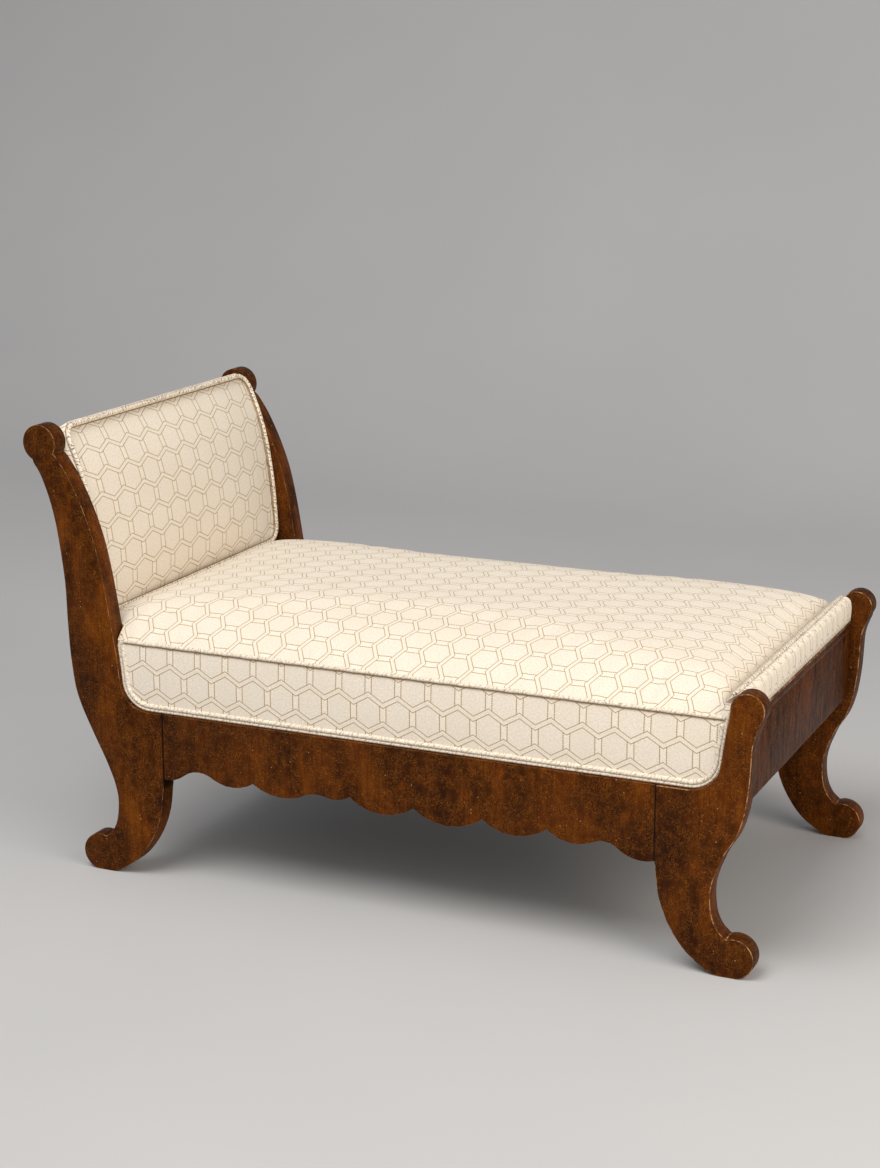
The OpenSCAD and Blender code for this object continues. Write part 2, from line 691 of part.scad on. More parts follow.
module webbing_lengthwise() color(jute) difference() {
    for (j = [0:lengthwise_count - 1])
        across_depth_of(lengthwise_y(j) - webbing_width / 2, lengthwise_y(j) + webbing_width / 2)
            woven_band(woven_line(webbing_head_x, webbing_foot_x,
                [for (i = [0:crosswise_count - 1]) crosswise_x(i)], j % 2));
    front_and_rear() tack_set(joint_play);
}
module webbing_crosswise() color(jute) difference() {
    for (i = [0:crosswise_count - 1])
        translate([crosswise_x(i) - webbing_width / 2, 0, 0]) rotate([90, 0, 90])
            linear_extrude(webbing_width)
                woven_band(woven_line(-webbing_y, webbing_y,
                    [for (j = [0:lengthwise_count - 1]) lengthwise_y(j)], (i + 1) % 2));
    front_and_rear() tack_set(joint_play);
}

// Tacks of the webbing, on the rear half and along both cross rails
tack_head_radius = 4;
tack_head_depth = 0.9;
tack_shank_radius = 0.9;
tack_length = 11;
module tack(x, y, play) {
    translate([x, y, rail_bottom - webbing_thickness]) {
        if (play == 0) translate([0, 0, -tack_head_depth])
            cylinder(tack_head_depth, r = tack_head_radius);
        translate([0, 0, -play])
            cylinder(tack_length + 2 * play, r = tack_shank_radius + play);
    }
}
module tack_set(play) {
    spread = webbing_width / 4;
    for (i = [0:crosswise_count - 1]) for (side = [-1, 1])
        tack(crosswise_x(i) + side * spread, long_rail_y + rail_thickness / 2, play);
    for (x = [head_rail_x, foot_rail_x]) for (j = [0:lengthwise_count - 1])
        if (lengthwise_y(j) >= 0)
            for (side = lengthwise_y(j) == 0 ? [1] : [-1, 1])
                tack(x, lengthwise_y(j) + side * spread, play);
}
module webbing_tacks() color(steel) front_and_rear() tack_set(0);

// Dust cover tacked under the frame
dust_cover_thickness = 0.8;
module dust_cover() color([0.13, 0.13, 0.14])
    translate([webbing_head_x, -webbing_y,
            rail_bottom - 2 * webbing_thickness - cloth_gap - dust_cover_thickness])
        cube([webbing_foot_x - webbing_head_x, 2 * webbing_y, dust_cover_thickness]);

// Hourglass coil spring of square-laid wire, as one helix
spring_segments = 8;
waist_power = 1.6;
module spring() {
    wire = spring_wire / 2;
    steps = spring_turns * spring_segments;
    skin([for (k = [0:steps]) let (t = k / steps, turn = 360 * k / spring_segments,
            radius = mix(spring_waist_radius, spring_end_radius, pow(abs(2 * t - 1), waist_power)),
            z = mix(wire, spring_height - wire, t))
        [for (q = [0:3]) let (out = radius - wire + wire * cos(90 * q))
            [out * cos(turn), out * sin(turn), z + wire * sin(90 * q)]]]);
}
module seat_springs() color(steel)
    for (i = [0:spring_columns - 1]) for (j = [0:spring_rows - 1])
        translate([spring_head_x + column_pitch * (i + 1 / 2),
                row_pitch * (j - (spring_rows - 1) / 2), rail_bottom])
            spring();

// Lashing twine over the springs, from rail to rail, as a line with thickness
module twine_line(from, to, rise, level) {
    line = [[from, rail_top], [from + rise, level], [to - rise, level], [to, rail_top]];
    polygon(concat(line, [for (p = reversed(shifted(line, twine_thickness))) p]));
}
lashing_rise = column_pitch / 4;
module lashing_lengthwise() color(jute)
    for (j = [0:spring_rows - 1])
        translate([0, row_pitch * (j - (spring_rows - 1) / 2), 0])
            across_depth_of(-twine_thickness / 2, twine_thickness / 2)
                twine_line(spring_head_x - 2 * twine_thickness,
                    spring_foot_x + 2 * twine_thickness, lashing_rise, spring_top);
module lashing_crosswise() color(jute)
    for (i = [0:spring_columns - 1])
        translate([spring_head_x + column_pitch * (i + 1 / 2) - twine_thickness / 2, 0, 0])
            rotate([90, 0, 90]) linear_extrude(twine_thickness)
                twine_line(-long_rail_y - twine_thickness, long_rail_y + twine_thickness,
                    long_rail_y - burlap_shelf_y + 2 * twine_thickness,
                    spring_top + twine_thickness);

// Space of the springs under the burlap, grown outwards by a margin
module spring_tent(grow) {
    foot_y = long_rail_y + burlap_hem + grow;
    shelf_y = burlap_shelf_y + grow;
    top = lashing_top + cloth_gap + grow;
    from = spring_head_x - burlap_hem - grow;
    translate([from, 0, 0]) rotate([90, 0, 90])
        linear_extrude(spring_foot_x + burlap_hem + grow - from)
            polygon([[-foot_y, rail_top], [foot_y, rail_top], [shelf_y, top],
                [-shelf_y, top]]);
}
module spring_burlap() color(jute) difference() {
    spring_tent(burlap_thickness);
    translate([0, 0, -joint_play]) spring_tent(0);
}

// Seat side as seen from the front: bounded by the posts' seat-side edges
function side_outline(gap) = concat([for (p = head_edge_path) p + [gap, gap]],
    [for (p = reversed(foot_edge_path)) p + [-gap, gap]]);
module seat_side(gap, top) {
    intersection() {
        polygon(side_outline(gap));
        translate([-half_length, 0]) square([overall_length, top]);
    }
}

// Lower stuffing between the springs and the seam, cut to the burlap
module seat_stuffing() color(felt) difference() {
    bottom = rail_top + cloth_gap;
    union() {
        front_and_rear() across_depth_of(tongue_y, cloth_y - cover_thickness - cloth_gap)
            seat_side(cloth_gap, stuffing_top);
        across_depth_of(-tongue_y, tongue_y)
            polygon([[head_board_x(bottom) + board_thickness + end_play, bottom],
                [seat_foot_x, bottom], [seat_foot_x, stuffing_top],
                [head_board_x(stuffing_top) + board_thickness + end_play, stuffing_top]]);
    }
    spring_tent(burlap_thickness + cloth_gap);
}

// Crowned top pad and the cover cloth over it
module seat_pad() color(felt) surface_slab(seat_xs, seat_ys([cloth_y - pad_depth]),
    function (x, y) stuffing_top + cloth_gap,
    function (x, y) seat_height(x, y) - pad_depth, function (x, y) in_seat(x, y));
module seat_top_cover() color(cloth) surface_slab(seat_xs,
    seat_ys([cloth_y - pad_depth, cloth_y]),
    function (x, y) seat_height(x, y) - cover_thickness,
    function (x, y) seat_height(x, y), function (x, y) in_seat(x, y));

module boxing() {
    across_depth_of(cloth_y - cover_thickness, cloth_y)
        seat_side(cloth_gap, seam_height - cover_thickness);
}
module boxing_front() color(cloth) mirror([0, 1, 0]) boxing();
module boxing_rear() color(cloth) boxing();

// Single cord along the seam, stopped short of the double welt at each end
welt_height = 4 * welt_radius;
welt_y = cloth_y + welt_radius + joint_play;
module seam_welt() {
    from = flank_head_x + welt_height + cloth_gap;
    to = flank_foot_x - welt_height - cloth_gap;
    translate([from, welt_y, seam_height]) rotate([0, 90, 0])
        cylinder(to - from, r = welt_radius);
}
module seam_welt_front() color(cloth) mirror([0, 1, 0]) seam_welt();
module seam_welt_rear() color(cloth) seam_welt();

// Two cords side by side, swept along the wood's edge from post to post
groove_share = 0.4;
bead_section = [for (side = [1, -1]) each concat(
    [[0, -side * groove_share * welt_radius]],
    [for (q = [-2:2]) let (turn = 60 * q)
        side * welt_radius * [1 + cos(turn), sin(turn)]])];
module double_welt() {
    wood_line = concat(reversed(below(head_edge_path, welt_end_height)),
        below(foot_edge_path, welt_end_height));
    middle = shifted(wood_line, welt_height / 2 + cloth_gap);
    outer = shifted(wood_line, welt_height / 2 + cloth_gap + 1);
    skin([for (i = [0:len(middle) - 1]) let (out = outer[i] - middle[i])
        [for (p = bead_section) [middle[i].x + out.x * p.x, welt_y + p.y,
            middle[i].y + out.y * p.x]]]);
}
module double_welt_front() color(cloth) mirror([0, 1, 0]) double_welt();
module double_welt_rear() color(cloth) double_welt();

// Profile of the foot roll, from its seat side over its ridge to its outside,
// in shares of roll_width and of the height of its rounded top
roll_shares = [[0, 0], [0.02, 0.3], [0.13, 0.5], [0.38, 0.78], [0.62, 0.98],
    [0.8, 0.96], [0.94, 0.74], [0.99, 0.4], [1, 0]];
roll_base = foot_height - roll_drop - roll_round;
roll_line = smooth_curve(placed(roll_shares, [roll_back_x, roll_base],
    [roll_width, roll_round]));
module roll_outline(margin) {
    polygon(concat([[foot_board_x - margin, rail_top + cloth_gap]],
        reversed(shifted(roll_line, -margin)), [[roll_back_x + margin, rail_top + cloth_gap]]));
}
module board_clearance() {
    translate([foot_board_back_x - cloth_gap, 0])
        square([overall_length, cap_top + cloth_gap]);
}
module foot_roll_pad() color(felt) across_depth_of(-tongue_y, tongue_y) difference() {
    roll_outline(pad_depth);
    board_clearance();
}
module foot_roll_cover() color(cloth) across_depth_of(-tongue_y, tongue_y) difference() {
    roll_outline(0);
    roll_outline(cover_thickness);
    board_clearance();
}

// Two cords side by side on the slope between the seat and the roll's ridge
roll_welt_share = 0.42;
module foot_roll_welt() color(cloth) across_depth_of(-tongue_y, tongue_y) {
    line = shifted(roll_line, welt_radius + joint_play);
    place = round(roll_welt_share * (len(line) - 1));
    along = line[place + 1] - line[place - 1];
    for (side = [-1, 1])
        translate(line[place] + side * (welt_radius + joint_play) * along / norm(along))
            circle(welt_radius);
}

// Layer of the head panel between two depths behind its face line
function face_line(depth, from, to) = [for (p = concat(
        [[panel_x(from), from]],
        [for (p = panel_face_path) if (p.y > from && p.y < to) p],
        [[panel_x(to), to]])) p - [depth, 0]];
module panel_layer(depth, thickness, from, to, y_from, y_to) {
    across_depth_of(y_from, y_to) polygon(concat(
        face_line(depth, from, to), reversed(face_line(depth + thickness, from, to))));
}

// Rounded outline of the panel seen from the front, its foot left square
module panel_window(bottom, margin, depth) {
    width = stile_face_y - margin;
    radius = panel_corner - margin;
    rise = radius - square_drop * depth;
    translate([-half_length - overrun, 0, 0]) rotate([90, 0, 90])
        linear_extrude(head_span + overrun) union() {
            translate([-width, bottom]) square([2 * width, corner_base - bottom]);
            translate([-width + radius, bottom])
                square([2 * (width - radius), corner_base + rise - bottom]);
            for (side = [-1, 1]) translate([side * (width - radius), corner_base])
                scale([1, rise / radius]) circle(radius);
        }
}

panel_rail_low = head_board_top + cloth_gap;
panel_rail_high = frame_top - panel_rail_width;
module panel_dowel_set(play) {
    spread = panel_rail_width / 2;
    for (base = [panel_rail_low, panel_rail_high]) for (up = [-1, 1])
        let (z = base + panel_rail_width / 2 + up * spread / 2)
            translate([panel_x(z) - panel_frame_depth - panel_frame_thickness / 2,
                    stile_face_y - stile_width - dowel_length / 2 - play, z])
                rotate([-90, 0, 0])
                    cylinder(dowel_length + 2 * play, d = dowel_diameter + 2 * play);
}
module panel_stile() {
    difference() {
        intersection() {
            panel_layer(panel_frame_depth, panel_frame_thickness, panel_rail_low, frame_top,
                stile_face_y - stile_width, frame_y);
            panel_window(panel_rail_low, frame_inset, panel_thickness);
        }
        panel_dowel_set(joint_play);
        panel_screw_set(joint_play);
    }
}
module panel_rail(from) {
    reach = stile_face_y - stile_width;
    difference() {
        panel_layer(panel_frame_depth, panel_frame_thickness, from, from + panel_rail_width,
            -reach, reach);
        front_and_rear() panel_dowel_set(joint_play);
    }
}
module panel_stile_front() color(inner_wood) mirror([0, 1, 0]) panel_stile();
module panel_stile_rear() color(inner_wood) panel_stile();
module panel_top_rail() color(inner_wood) panel_rail(panel_rail_high);
module panel_bottom_rail() color(inner_wood) panel_rail(panel_rail_low);
module panel_dowels() color(inner_wood) front_and_rear() panel_dowel_set(0);
module panel_screws() color(steel) front_and_rear() panel_screw_set(0);

panel_web_count = 5;
panel_web_rows = 3;
module panel_webbing_across() color(jute)
    for (k = [0:panel_web_rows - 1])
        let (z = mix(panel_bottom, panel_top, (k + 1) / (panel_web_rows + 1)))
            panel_layer(across_depth, panel_webbing_thickness, z - webbing_width / 2,
                z + webbing_width / 2, rail_margin - stile_face_y, stile_face_y - rail_margin);
module panel_webbing_upright() color(jute)
    for (k = [0:panel_web_count - 1])
        let (y = 2 * (stile_face_y - stile_width) * ((k + 1 / 2) / panel_web_count - 1 / 2))
            panel_layer(upright_depth, panel_webbing_thickness, panel_bottom + rail_margin,
                frame_top - rail_margin, y - webbing_width / 2, y + webbing_width / 2);
module panel_burlap() color(jute) intersection() {
    panel_layer(burlap_depth, burlap_thickness, panel_bottom + rail_margin,
        frame_top, rail_margin - stile_face_y, stile_face_y - rail_margin);
    panel_window(panel_bottom, rail_margin, panel_thickness);
}

// Rounded rectangle of the panel at a share of its size, as Y-Z points
corner_steps = 4;
upright_steps = 6;
level_steps = 2;
function panel_ring(share, margin) = let (
        half = [stile_face_y - margin, (panel_top - panel_bottom) / 2 - margin],
        radius = (panel_corner - margin) * share, middle = (panel_top + panel_bottom) / 2,
        side = half * share - [radius, radius],
        corners = [for (c = [0:3]) let (sy = c == 0 || c == 3 ? 1 : -1, sz = c < 2 ? 1 : -1)
            each [for (k = [0:corner_steps]) let (turn = 90 * (c + k / corner_steps))
                [sy * side.x + radius * cos(turn), middle + sz * side.y + radius * sin(turn)]]],
        count = len(corners))
    [for (i = [0:count - 1]) let (corner = floor(i / (corner_steps + 1)),
            steps = i % (corner_steps + 1) < corner_steps ? 1
                : corner % 2 == 1 ? upright_steps : level_steps)
        each [for (k = [0:steps - 1]) mix(corners[i], corners[(i + 1) % count], k / steps)]];

// Face of the panel: its curved line with the crown added
crown_round = 3;
function fullness(offset, half) = 1 - pow(min(abs(offset) / half, 1), crown_round);
function crown_at(p) = panel_crown * fullness(p.x, stile_face_y)
    * fullness(p.y - (panel_top + panel_bottom) / 2, (panel_top - panel_bottom) / 2);
function laid(p, depth) = let (z = squared(p.y, depth)) [panel_x(z) - depth, p.x, z];
function crowned(p, share, depth) =
    share == 1 ? laid(p, depth) : [panel_x(p.y) - depth + crown_at(p), p.x, p.y];
crown_shares = [0.12, 0.28, 0.46, 0.64, 0.8, 0.92, 1];
function crowned_rings(depth, margin) =
    [for (s = crown_shares) [for (p = panel_ring(s, margin)) crowned(p, s, depth)]];
function ring_at(margin, depths) = [for (p = panel_ring(1, margin))
    laid(p, p.y < corner_base ? depths[0] : depths[1])];

module panel_pad() color(felt) skin(concat(crowned_rings(frame_inset, pad_depth),
    [for (s = reversed(crown_shares)) [for (p = panel_ring(s, pad_depth))
        laid(p, burlap_depth - soft_gap - cloth_gap)]]));
// The cover wraps over the top, back to the outside cover
module panel_cover() color(cloth) {
    depths = [burlap_depth - soft_gap, panel_thickness - cover_thickness - cloth_gap];
    skin(concat(crowned_rings(0, 0), [ring_at(0, depths), ring_at(cover_thickness, depths)],
        reversed(crowned_rings(cover_thickness, cover_thickness))));
}

// Cord round the panel at a depth behind its face line
piping_sides = 6;
module piping(depth, crowning) {
    ring = panel_ring(1, piping_radius);
    count = len(ring);
    skin([for (i = [0:count - 1]) let (p = ring[i],
            ahead = ring[(i + 1) % count], behind = ring[(i + count - 1) % count],
            along = (ahead - behind) / norm(ahead - behind))
        [for (q = [0:piping_sides - 1]) let (turn = -360 * q / piping_sides)
            laid(p, max(depth, 0)) + [crowning * crown_at(p) - min(depth, 0)
                + piping_radius * cos(turn), piping_radius * sin(turn) * along.y,
                -piping_radius * sin(turn) * along.x]]], loop = true);
}
module panel_piping() color(cloth) piping(-piping_radius - soft_gap, 1);

module outside_back_cover() color(cloth) intersection() {
    panel_layer(panel_thickness - cover_thickness, cover_thickness, panel_rail_low, panel_top,
        -stile_face_y, stile_face_y);
    panel_window(panel_rail_low, 0, panel_thickness);
}
module outside_back_piping() color(cloth)
    piping(panel_thickness + piping_radius + joint_play, 0);

head_post_front();
head_post_rear();
foot_post_front();
foot_post_rear();
apron_front();
apron_rear();
foot_board();
foot_cap();
head_board();
seat_rail_front();
seat_rail_rear();
seat_rail_head();
seat_rail_foot();
seat_stretcher();
corner_blocks();
rail_screws();
block_screws();
webbing_lengthwise();
webbing_crosswise();
webbing_tacks();
dust_cover();
seat_springs();
lashing_lengthwise();
lashing_crosswise();
spring_burlap();
seat_stuffing();
seat_pad();
seat_top_cover();
boxing_front();
boxing_rear();
seam_welt_front();
seam_welt_rear();
double_welt_front();
double_welt_rear();
foot_roll_pad();
foot_roll_cover();
foot_roll_welt();
panel_stile_front();
panel_stile_rear();
panel_top_rail();
panel_bottom_rail();
panel_dowels();
panel_screws();
panel_webbing_across();
panel_webbing_upright();
panel_burlap();
panel_pad();
panel_cover();
panel_piping();
outside_back_cover();
outside_back_piping();
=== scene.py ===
# %% [markdown]
# # Dressing a recamier
# A recamier is a small daybed: a raised, curved head, a low padded foot and a
# deep seat sprung on coils. The solids of this one are already packed, so
# nothing here has to be placed by eye. Each lesson below takes one part of it
# and gives it what the maker's hands gave the real one: eased arrises and
# polish for the wood, and crown, seams and weave for the upholstery.

import bmesh
import bpy
import numpy as np
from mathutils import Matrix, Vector


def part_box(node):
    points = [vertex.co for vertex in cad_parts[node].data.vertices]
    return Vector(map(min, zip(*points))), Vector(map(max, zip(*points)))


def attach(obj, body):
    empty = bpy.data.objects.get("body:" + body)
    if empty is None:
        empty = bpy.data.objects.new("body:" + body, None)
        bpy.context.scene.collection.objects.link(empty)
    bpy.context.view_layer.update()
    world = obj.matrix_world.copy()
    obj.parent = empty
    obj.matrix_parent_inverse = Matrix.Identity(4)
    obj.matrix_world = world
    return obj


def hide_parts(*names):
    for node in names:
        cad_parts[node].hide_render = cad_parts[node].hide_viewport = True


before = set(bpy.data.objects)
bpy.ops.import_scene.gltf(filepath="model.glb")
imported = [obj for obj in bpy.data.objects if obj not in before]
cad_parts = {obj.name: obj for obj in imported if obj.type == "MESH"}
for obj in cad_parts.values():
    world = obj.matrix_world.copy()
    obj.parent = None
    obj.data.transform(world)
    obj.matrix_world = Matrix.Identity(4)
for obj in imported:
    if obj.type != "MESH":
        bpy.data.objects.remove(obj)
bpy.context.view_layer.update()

# %% [markdown]
# ## Numbers first
# The frame is in metres, and the soft pieces follow lines that the wood sets.
# These are the lengths that the maker would read off the drawing.

# %% Lengths of the frame and its upholstery
half_length = 0.697
cloth_y = 0.368            # upholstered sides
tongue_y = 0.3427          # cloth between the posts
rail_top, rail_bottom = 0.319, 0.258
corner_z = 0.375           # top of the posts' sawn corners
seam_z = 0.446
stuffing_top = 0.440
welt_radius = 0.003
panel_bottom, panel_top = 0.478, 0.830


def scaled(shares, base, span):
    """Shares turned into points: base plus each share times the whole span."""
    return np.array(base) + np.array(shares) * np.array(span)


def smooth_curve(knots, steps=10):
    """A Catmull-Rom curve through the knots: on each stretch from b to c, with
    neighbours a and d, half of 2b + (c-a)t + (2a-5b+4c-d)tt + (3b-a-3c+d)ttt."""
    k = np.asarray(knots, float)
    k = np.vstack([k[:1], k, k[-1:]])
    a, b, c, d = (k[i:len(k) - 3 + i, None] for i in range(4))
    t = (np.arange(steps) / steps)[None, :, None]
    curve = (2 * b + (c - a) * t + (2 * a - 5 * b + 4 * c - d) * t ** 2
             + (3 * b - a - 3 * c + d) * t ** 3) / 2
    return np.vstack([curve.reshape(-1, k.shape[1]), k[-1:]])


def evenly(path, spacing):
    """The same path with points at equal steps of its own length."""
    path = np.asarray(path, float)
    run = np.r_[0, np.cumsum(np.linalg.norm(np.diff(path, axis=0), axis=1))]
    at = np.linspace(0, run[-1], max(2, int(round(run[-1] / spacing)) + 1))
    return np.stack([np.interp(at, run, path[:, i]) for i in range(path.shape[1])], 1)


def shifted(path, distance):
    """A flat path moved to the left of its own direction."""
    along = np.gradient(path, axis=0)
    left = np.stack([-along[:, 1], along[:, 0]], 1)
    return path + distance * left / np.linalg.norm(left, axis=1, keepdims=True)


# %% Edges of the posts and the panel, in the X-Z plane
head_reach, head_rise = 0.186, 0.4255
foot_reach, foot_rise = 0.07, 0.09
# Seat-side edges of the posts above the sawn corner, as shares of the post, and
# the line of the panel's face, as shares of the head post
head_edge_shares = [(1, 0), (.973, .106), (.938, .2), (.903, .294), (.858, .411),
                    (.806, .522), (.753, .611), (.675, .705), (.586, .792),
                    (.5, .863), (.419, .917), (.355, .952), (.312, .961)]
foot_edge_shares = [(1, 0), (.964, .222), (.921, .444), (.879, .689), (.843, .856),
                    (.821, .989), (.786, 1.11)]
panel_face_shares = [(.712, .02), (.704, .143), (.69, .235), (.669, .388),
                     (.642, .529), (.605, .646), (.567, .74), (.497, .858),
                     (.384, .987), (.32, 1.045), (.276, 1.085)]
corner_radius = 0.056
turn = np.linspace(0, np.pi / 2, 13)[:-1]
corner = np.stack([1 - np.sin(turn), -np.cos(turn)], 1) * corner_radius
head_edge = smooth_curve(scaled(head_edge_shares, (0, corner_z), (head_reach, head_rise)))
head_edge = np.vstack([corner + (head_reach, corner_z), head_edge]) - (half_length, 0)
foot_edge = smooth_curve(scaled(foot_edge_shares, (0, corner_z), (foot_reach, foot_rise)))
foot_edge = np.vstack([corner + (foot_reach, corner_z), foot_edge])
foot_edge = foot_edge * (-1, 1) + (half_length, 0)
panel_line = smooth_curve(scaled(panel_face_shares, (-half_length, corner_z),
                                 (head_reach, head_rise)))


def x_on(line, z):
    """Distance along the recamier at which a rising line passes a height."""
    return np.interp(z, line[:, 1], line[:, 0])


# The panel's top is cut square to its leaning face
panel_corner = 0.034
corner_base = panel_top - panel_corner
lean = (x_on(panel_line, corner_base) - x_on(panel_line, panel_top)) / panel_corner


def squared(z, depth):
    """Height of a point of the panel behind its face: lower by its depth times
    s/(1 + ss), s being the lean, a loss that grows over the corner's height."""
    return z - lean / (1 + lean ** 2) * depth * np.maximum(
        0, z - corner_base) / panel_corner


seat_tuck = 0.0172         # how far the seat runs in behind the panel's face
wood_gap = 0.0003          # between the stuffing and a post
seat_head_x = x_on(panel_line, seam_z) - seat_tuck
seat_foot_x = 0.6187
panel_foot_x = x_on(panel_line, panel_bottom)
lower_head_edge = head_edge[:60]
flank_head_x = x_on(lower_head_edge, stuffing_top) + wood_gap
flank_foot_x = x_on(foot_edge, stuffing_top) - wood_gap
print("seat from", round(seat_head_x, 4), "to", seat_foot_x,
      "flanks", round(flank_head_x, 4), round(flank_foot_x, 4))

# %% [markdown]
# ## Small tools
# Every surface below is a grid of points, or a row of rings, worked out as
# whole arrays. Three helpers turn them into meshes: one lists the quads of a
# grid, one makes the piece, and one says what it stands for in the frame.

# %% Grids, pieces and their places
def grid_quads(rows, columns, wrap_rows=False, wrap_columns=False):
    """Corner indices of the quads of a grid, twice: into the points, where a
    wrapped side returns to the start, and into a table one longer each way."""
    i, j = np.meshgrid(np.arange(rows - (not wrap_rows)),
                       np.arange(columns - (not wrap_columns)), indexing="ij")
    i, j = (np.stack([n, n + di, n + dj, n + d], -1).reshape(-1, 4) for n, di, dj, d in
            ((i, 1, 1, 0), (j, 0, 1, 1)))
    return (i % rows) * columns + j % columns, i * (columns + wrap_columns) + j


def make_piece(name, points, faces, material, places=None):
    """A mesh object at the origin. Places are the cloth's own lengths in metres
    at each corner of each face, and faces are turned so that they point out."""
    points = np.asarray(points, float).reshape(-1, 3)
    used, faces_used = np.unique(np.concatenate([f.ravel() for f in faces]),
                                 return_inverse=True)
    cuts = np.cumsum([f.size for f in faces])[:-1]
    faces = [part.reshape(f.shape) for part, f in zip(np.split(faces_used, cuts), faces)]
    points = points[used]
    volume = sum(np.einsum("ij,ij->", points[f[:, 0]],
                           np.cross(points[f[:, k]], points[f[:, k + 1]]))
                 for f in faces for k in range(1, f.shape[1] - 1))
    mesh = bpy.data.meshes.new(name)
    mesh.from_pydata(points.tolist(), [], [q for f in faces for q in f.tolist()])
    if places is not None:
        layer = mesh.uv_layers.new(name="cloth")
        layer.uv.foreach_set("vector", np.concatenate(
            [np.asarray(p, np.float32).ravel() for p in places]))
    if volume < 0:
        mesh.flip_normals()
    mesh.polygons.foreach_set("use_smooth", np.ones(len(mesh.polygons), bool))
    mesh.materials.append(material)
    piece = bpy.data.objects.new(name, mesh)
    bpy.context.scene.collection.objects.link(piece)
    return piece


def settle(piece, finish, *nodes):
    """The piece rides on the one body and stands for its solids. The finish is not used."""
    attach(piece, "root")
    if nodes:
        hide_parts(*nodes)
    print(f"{piece.name}: {len(piece.data.polygons)} faces")
    return piece


# %% [markdown]
# ## Colour and nodes
# Colours are written as they look on a screen. Blender reckons in linear
# light, so one function turns them over. One more adds every node, whatever
# its kind. The blend of two colours and the smooth rise of a value come up so
# often that their settings are written once.

# %% Colours and a node
def linear(colour):
    """sRGB hex to linear light: c/12.92 up to 0.04045, and above that
    (c + 0.055)/1.055 to the power 2.4."""
    c = np.array([int(colour[k:k + 2], 16) for k in (1, 3, 5)]) / 255
    return (*np.where(c <= 0.04045, c / 12.92, ((c + 0.055) / 1.055) ** 2.4), 1.0)


blend = {"data_type": "RGBA"}
smooth = {"interpolation_type": "SMOOTHSTEP"}


def add(material, kind, inputs=(), **settings):
    """Adds a node. Inputs are values, hex colours, nodes or sockets, either by
    the sockets' names or as a row in the order of those in use: a blend takes a
    share and two colours, a smooth rise a value, its start and end and what it
    becomes there, and a noise a place, cells to the metre, detail, roughness,
    lacunarity and distortion."""
    node = material.node_tree.nodes.new("ShaderNode" + kind)
    for name, value in settings.items():
        setattr(node, name, value)
    sockets = [s for s in node.inputs if s.enabled]
    if isinstance(inputs, dict):
        sockets = [next(s for s in sockets if s.name == name) for name in inputs]
        inputs = inputs.values()
    for socket, value in zip(sockets, inputs):
        if isinstance(value, str):
            value = linear(value)
        if isinstance(value, bpy.types.Node):
            value = next(s for s in value.outputs if s.enabled)
        if isinstance(value, bpy.types.NodeSocket):
            material.node_tree.links.new(value, socket)
        else:
            socket.default_value = value
    return node


def new_material(name, **shader_values):
    """A material with its shader's fixed values set on the shader itself."""
    material = bpy.data.materials.new(name)
    material.use_nodes = True
    shader = material.node_tree.nodes["Principled BSDF"]
    for key, value in shader_values.items():
        shader.inputs[key.replace("_", " ")].default_value = value
    return material, shader


def feed(material, shader, colour, roughness=None, height=None, depth=0.0002):
    """Links a finish to its shader: colour, roughness, and a height between 0
    and 1 that stands for so many metres of relief."""
    relief = None
    if height is not None:
        relief = add(material, "Bump", {"Height": height, "Distance": depth})
    for node, name in ((colour, "Base Color"), (roughness, "Roughness"),
                       (relief, "Normal")):
        if node is not None:
            output = next(s for s in node.outputs if s.enabled)
            material.node_tree.links.new(output, shader.inputs[name])


# %% [markdown]
# ## Show wood
# The posts, aprons and foot board are faced with figured mahogany, sawn thin
# and laid with its grain upright, then stained and polished with shellac. The
# eye reads four things: brown clouds as wide as a thumb, thin upright streaks,
# fine swirling hairs that catch the light, and a few pale nicks. Each is one
# noise at its own real size, and they are laid over each other.

# %% Figured mahogany veneer
joints = (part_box("head_post_front")[1].x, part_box("foot_post_front")[0].x)
# How many come to the metre: clouds 59 mm wide, mottle 18 mm, streaks 4 mm,
# hairs 7 mm apart in patches of 20 mm, nicks 12 mm apart and rubs 22 mm wide
clouds_a_metre, mottle_a_metre, streaks_a_metre = 17.0, 55.0, 260.0
hairs_a_metre, patches_a_metre, nicks_a_metre, rubs_a_metre = 150.0, 50.0, 80.0, 45.0


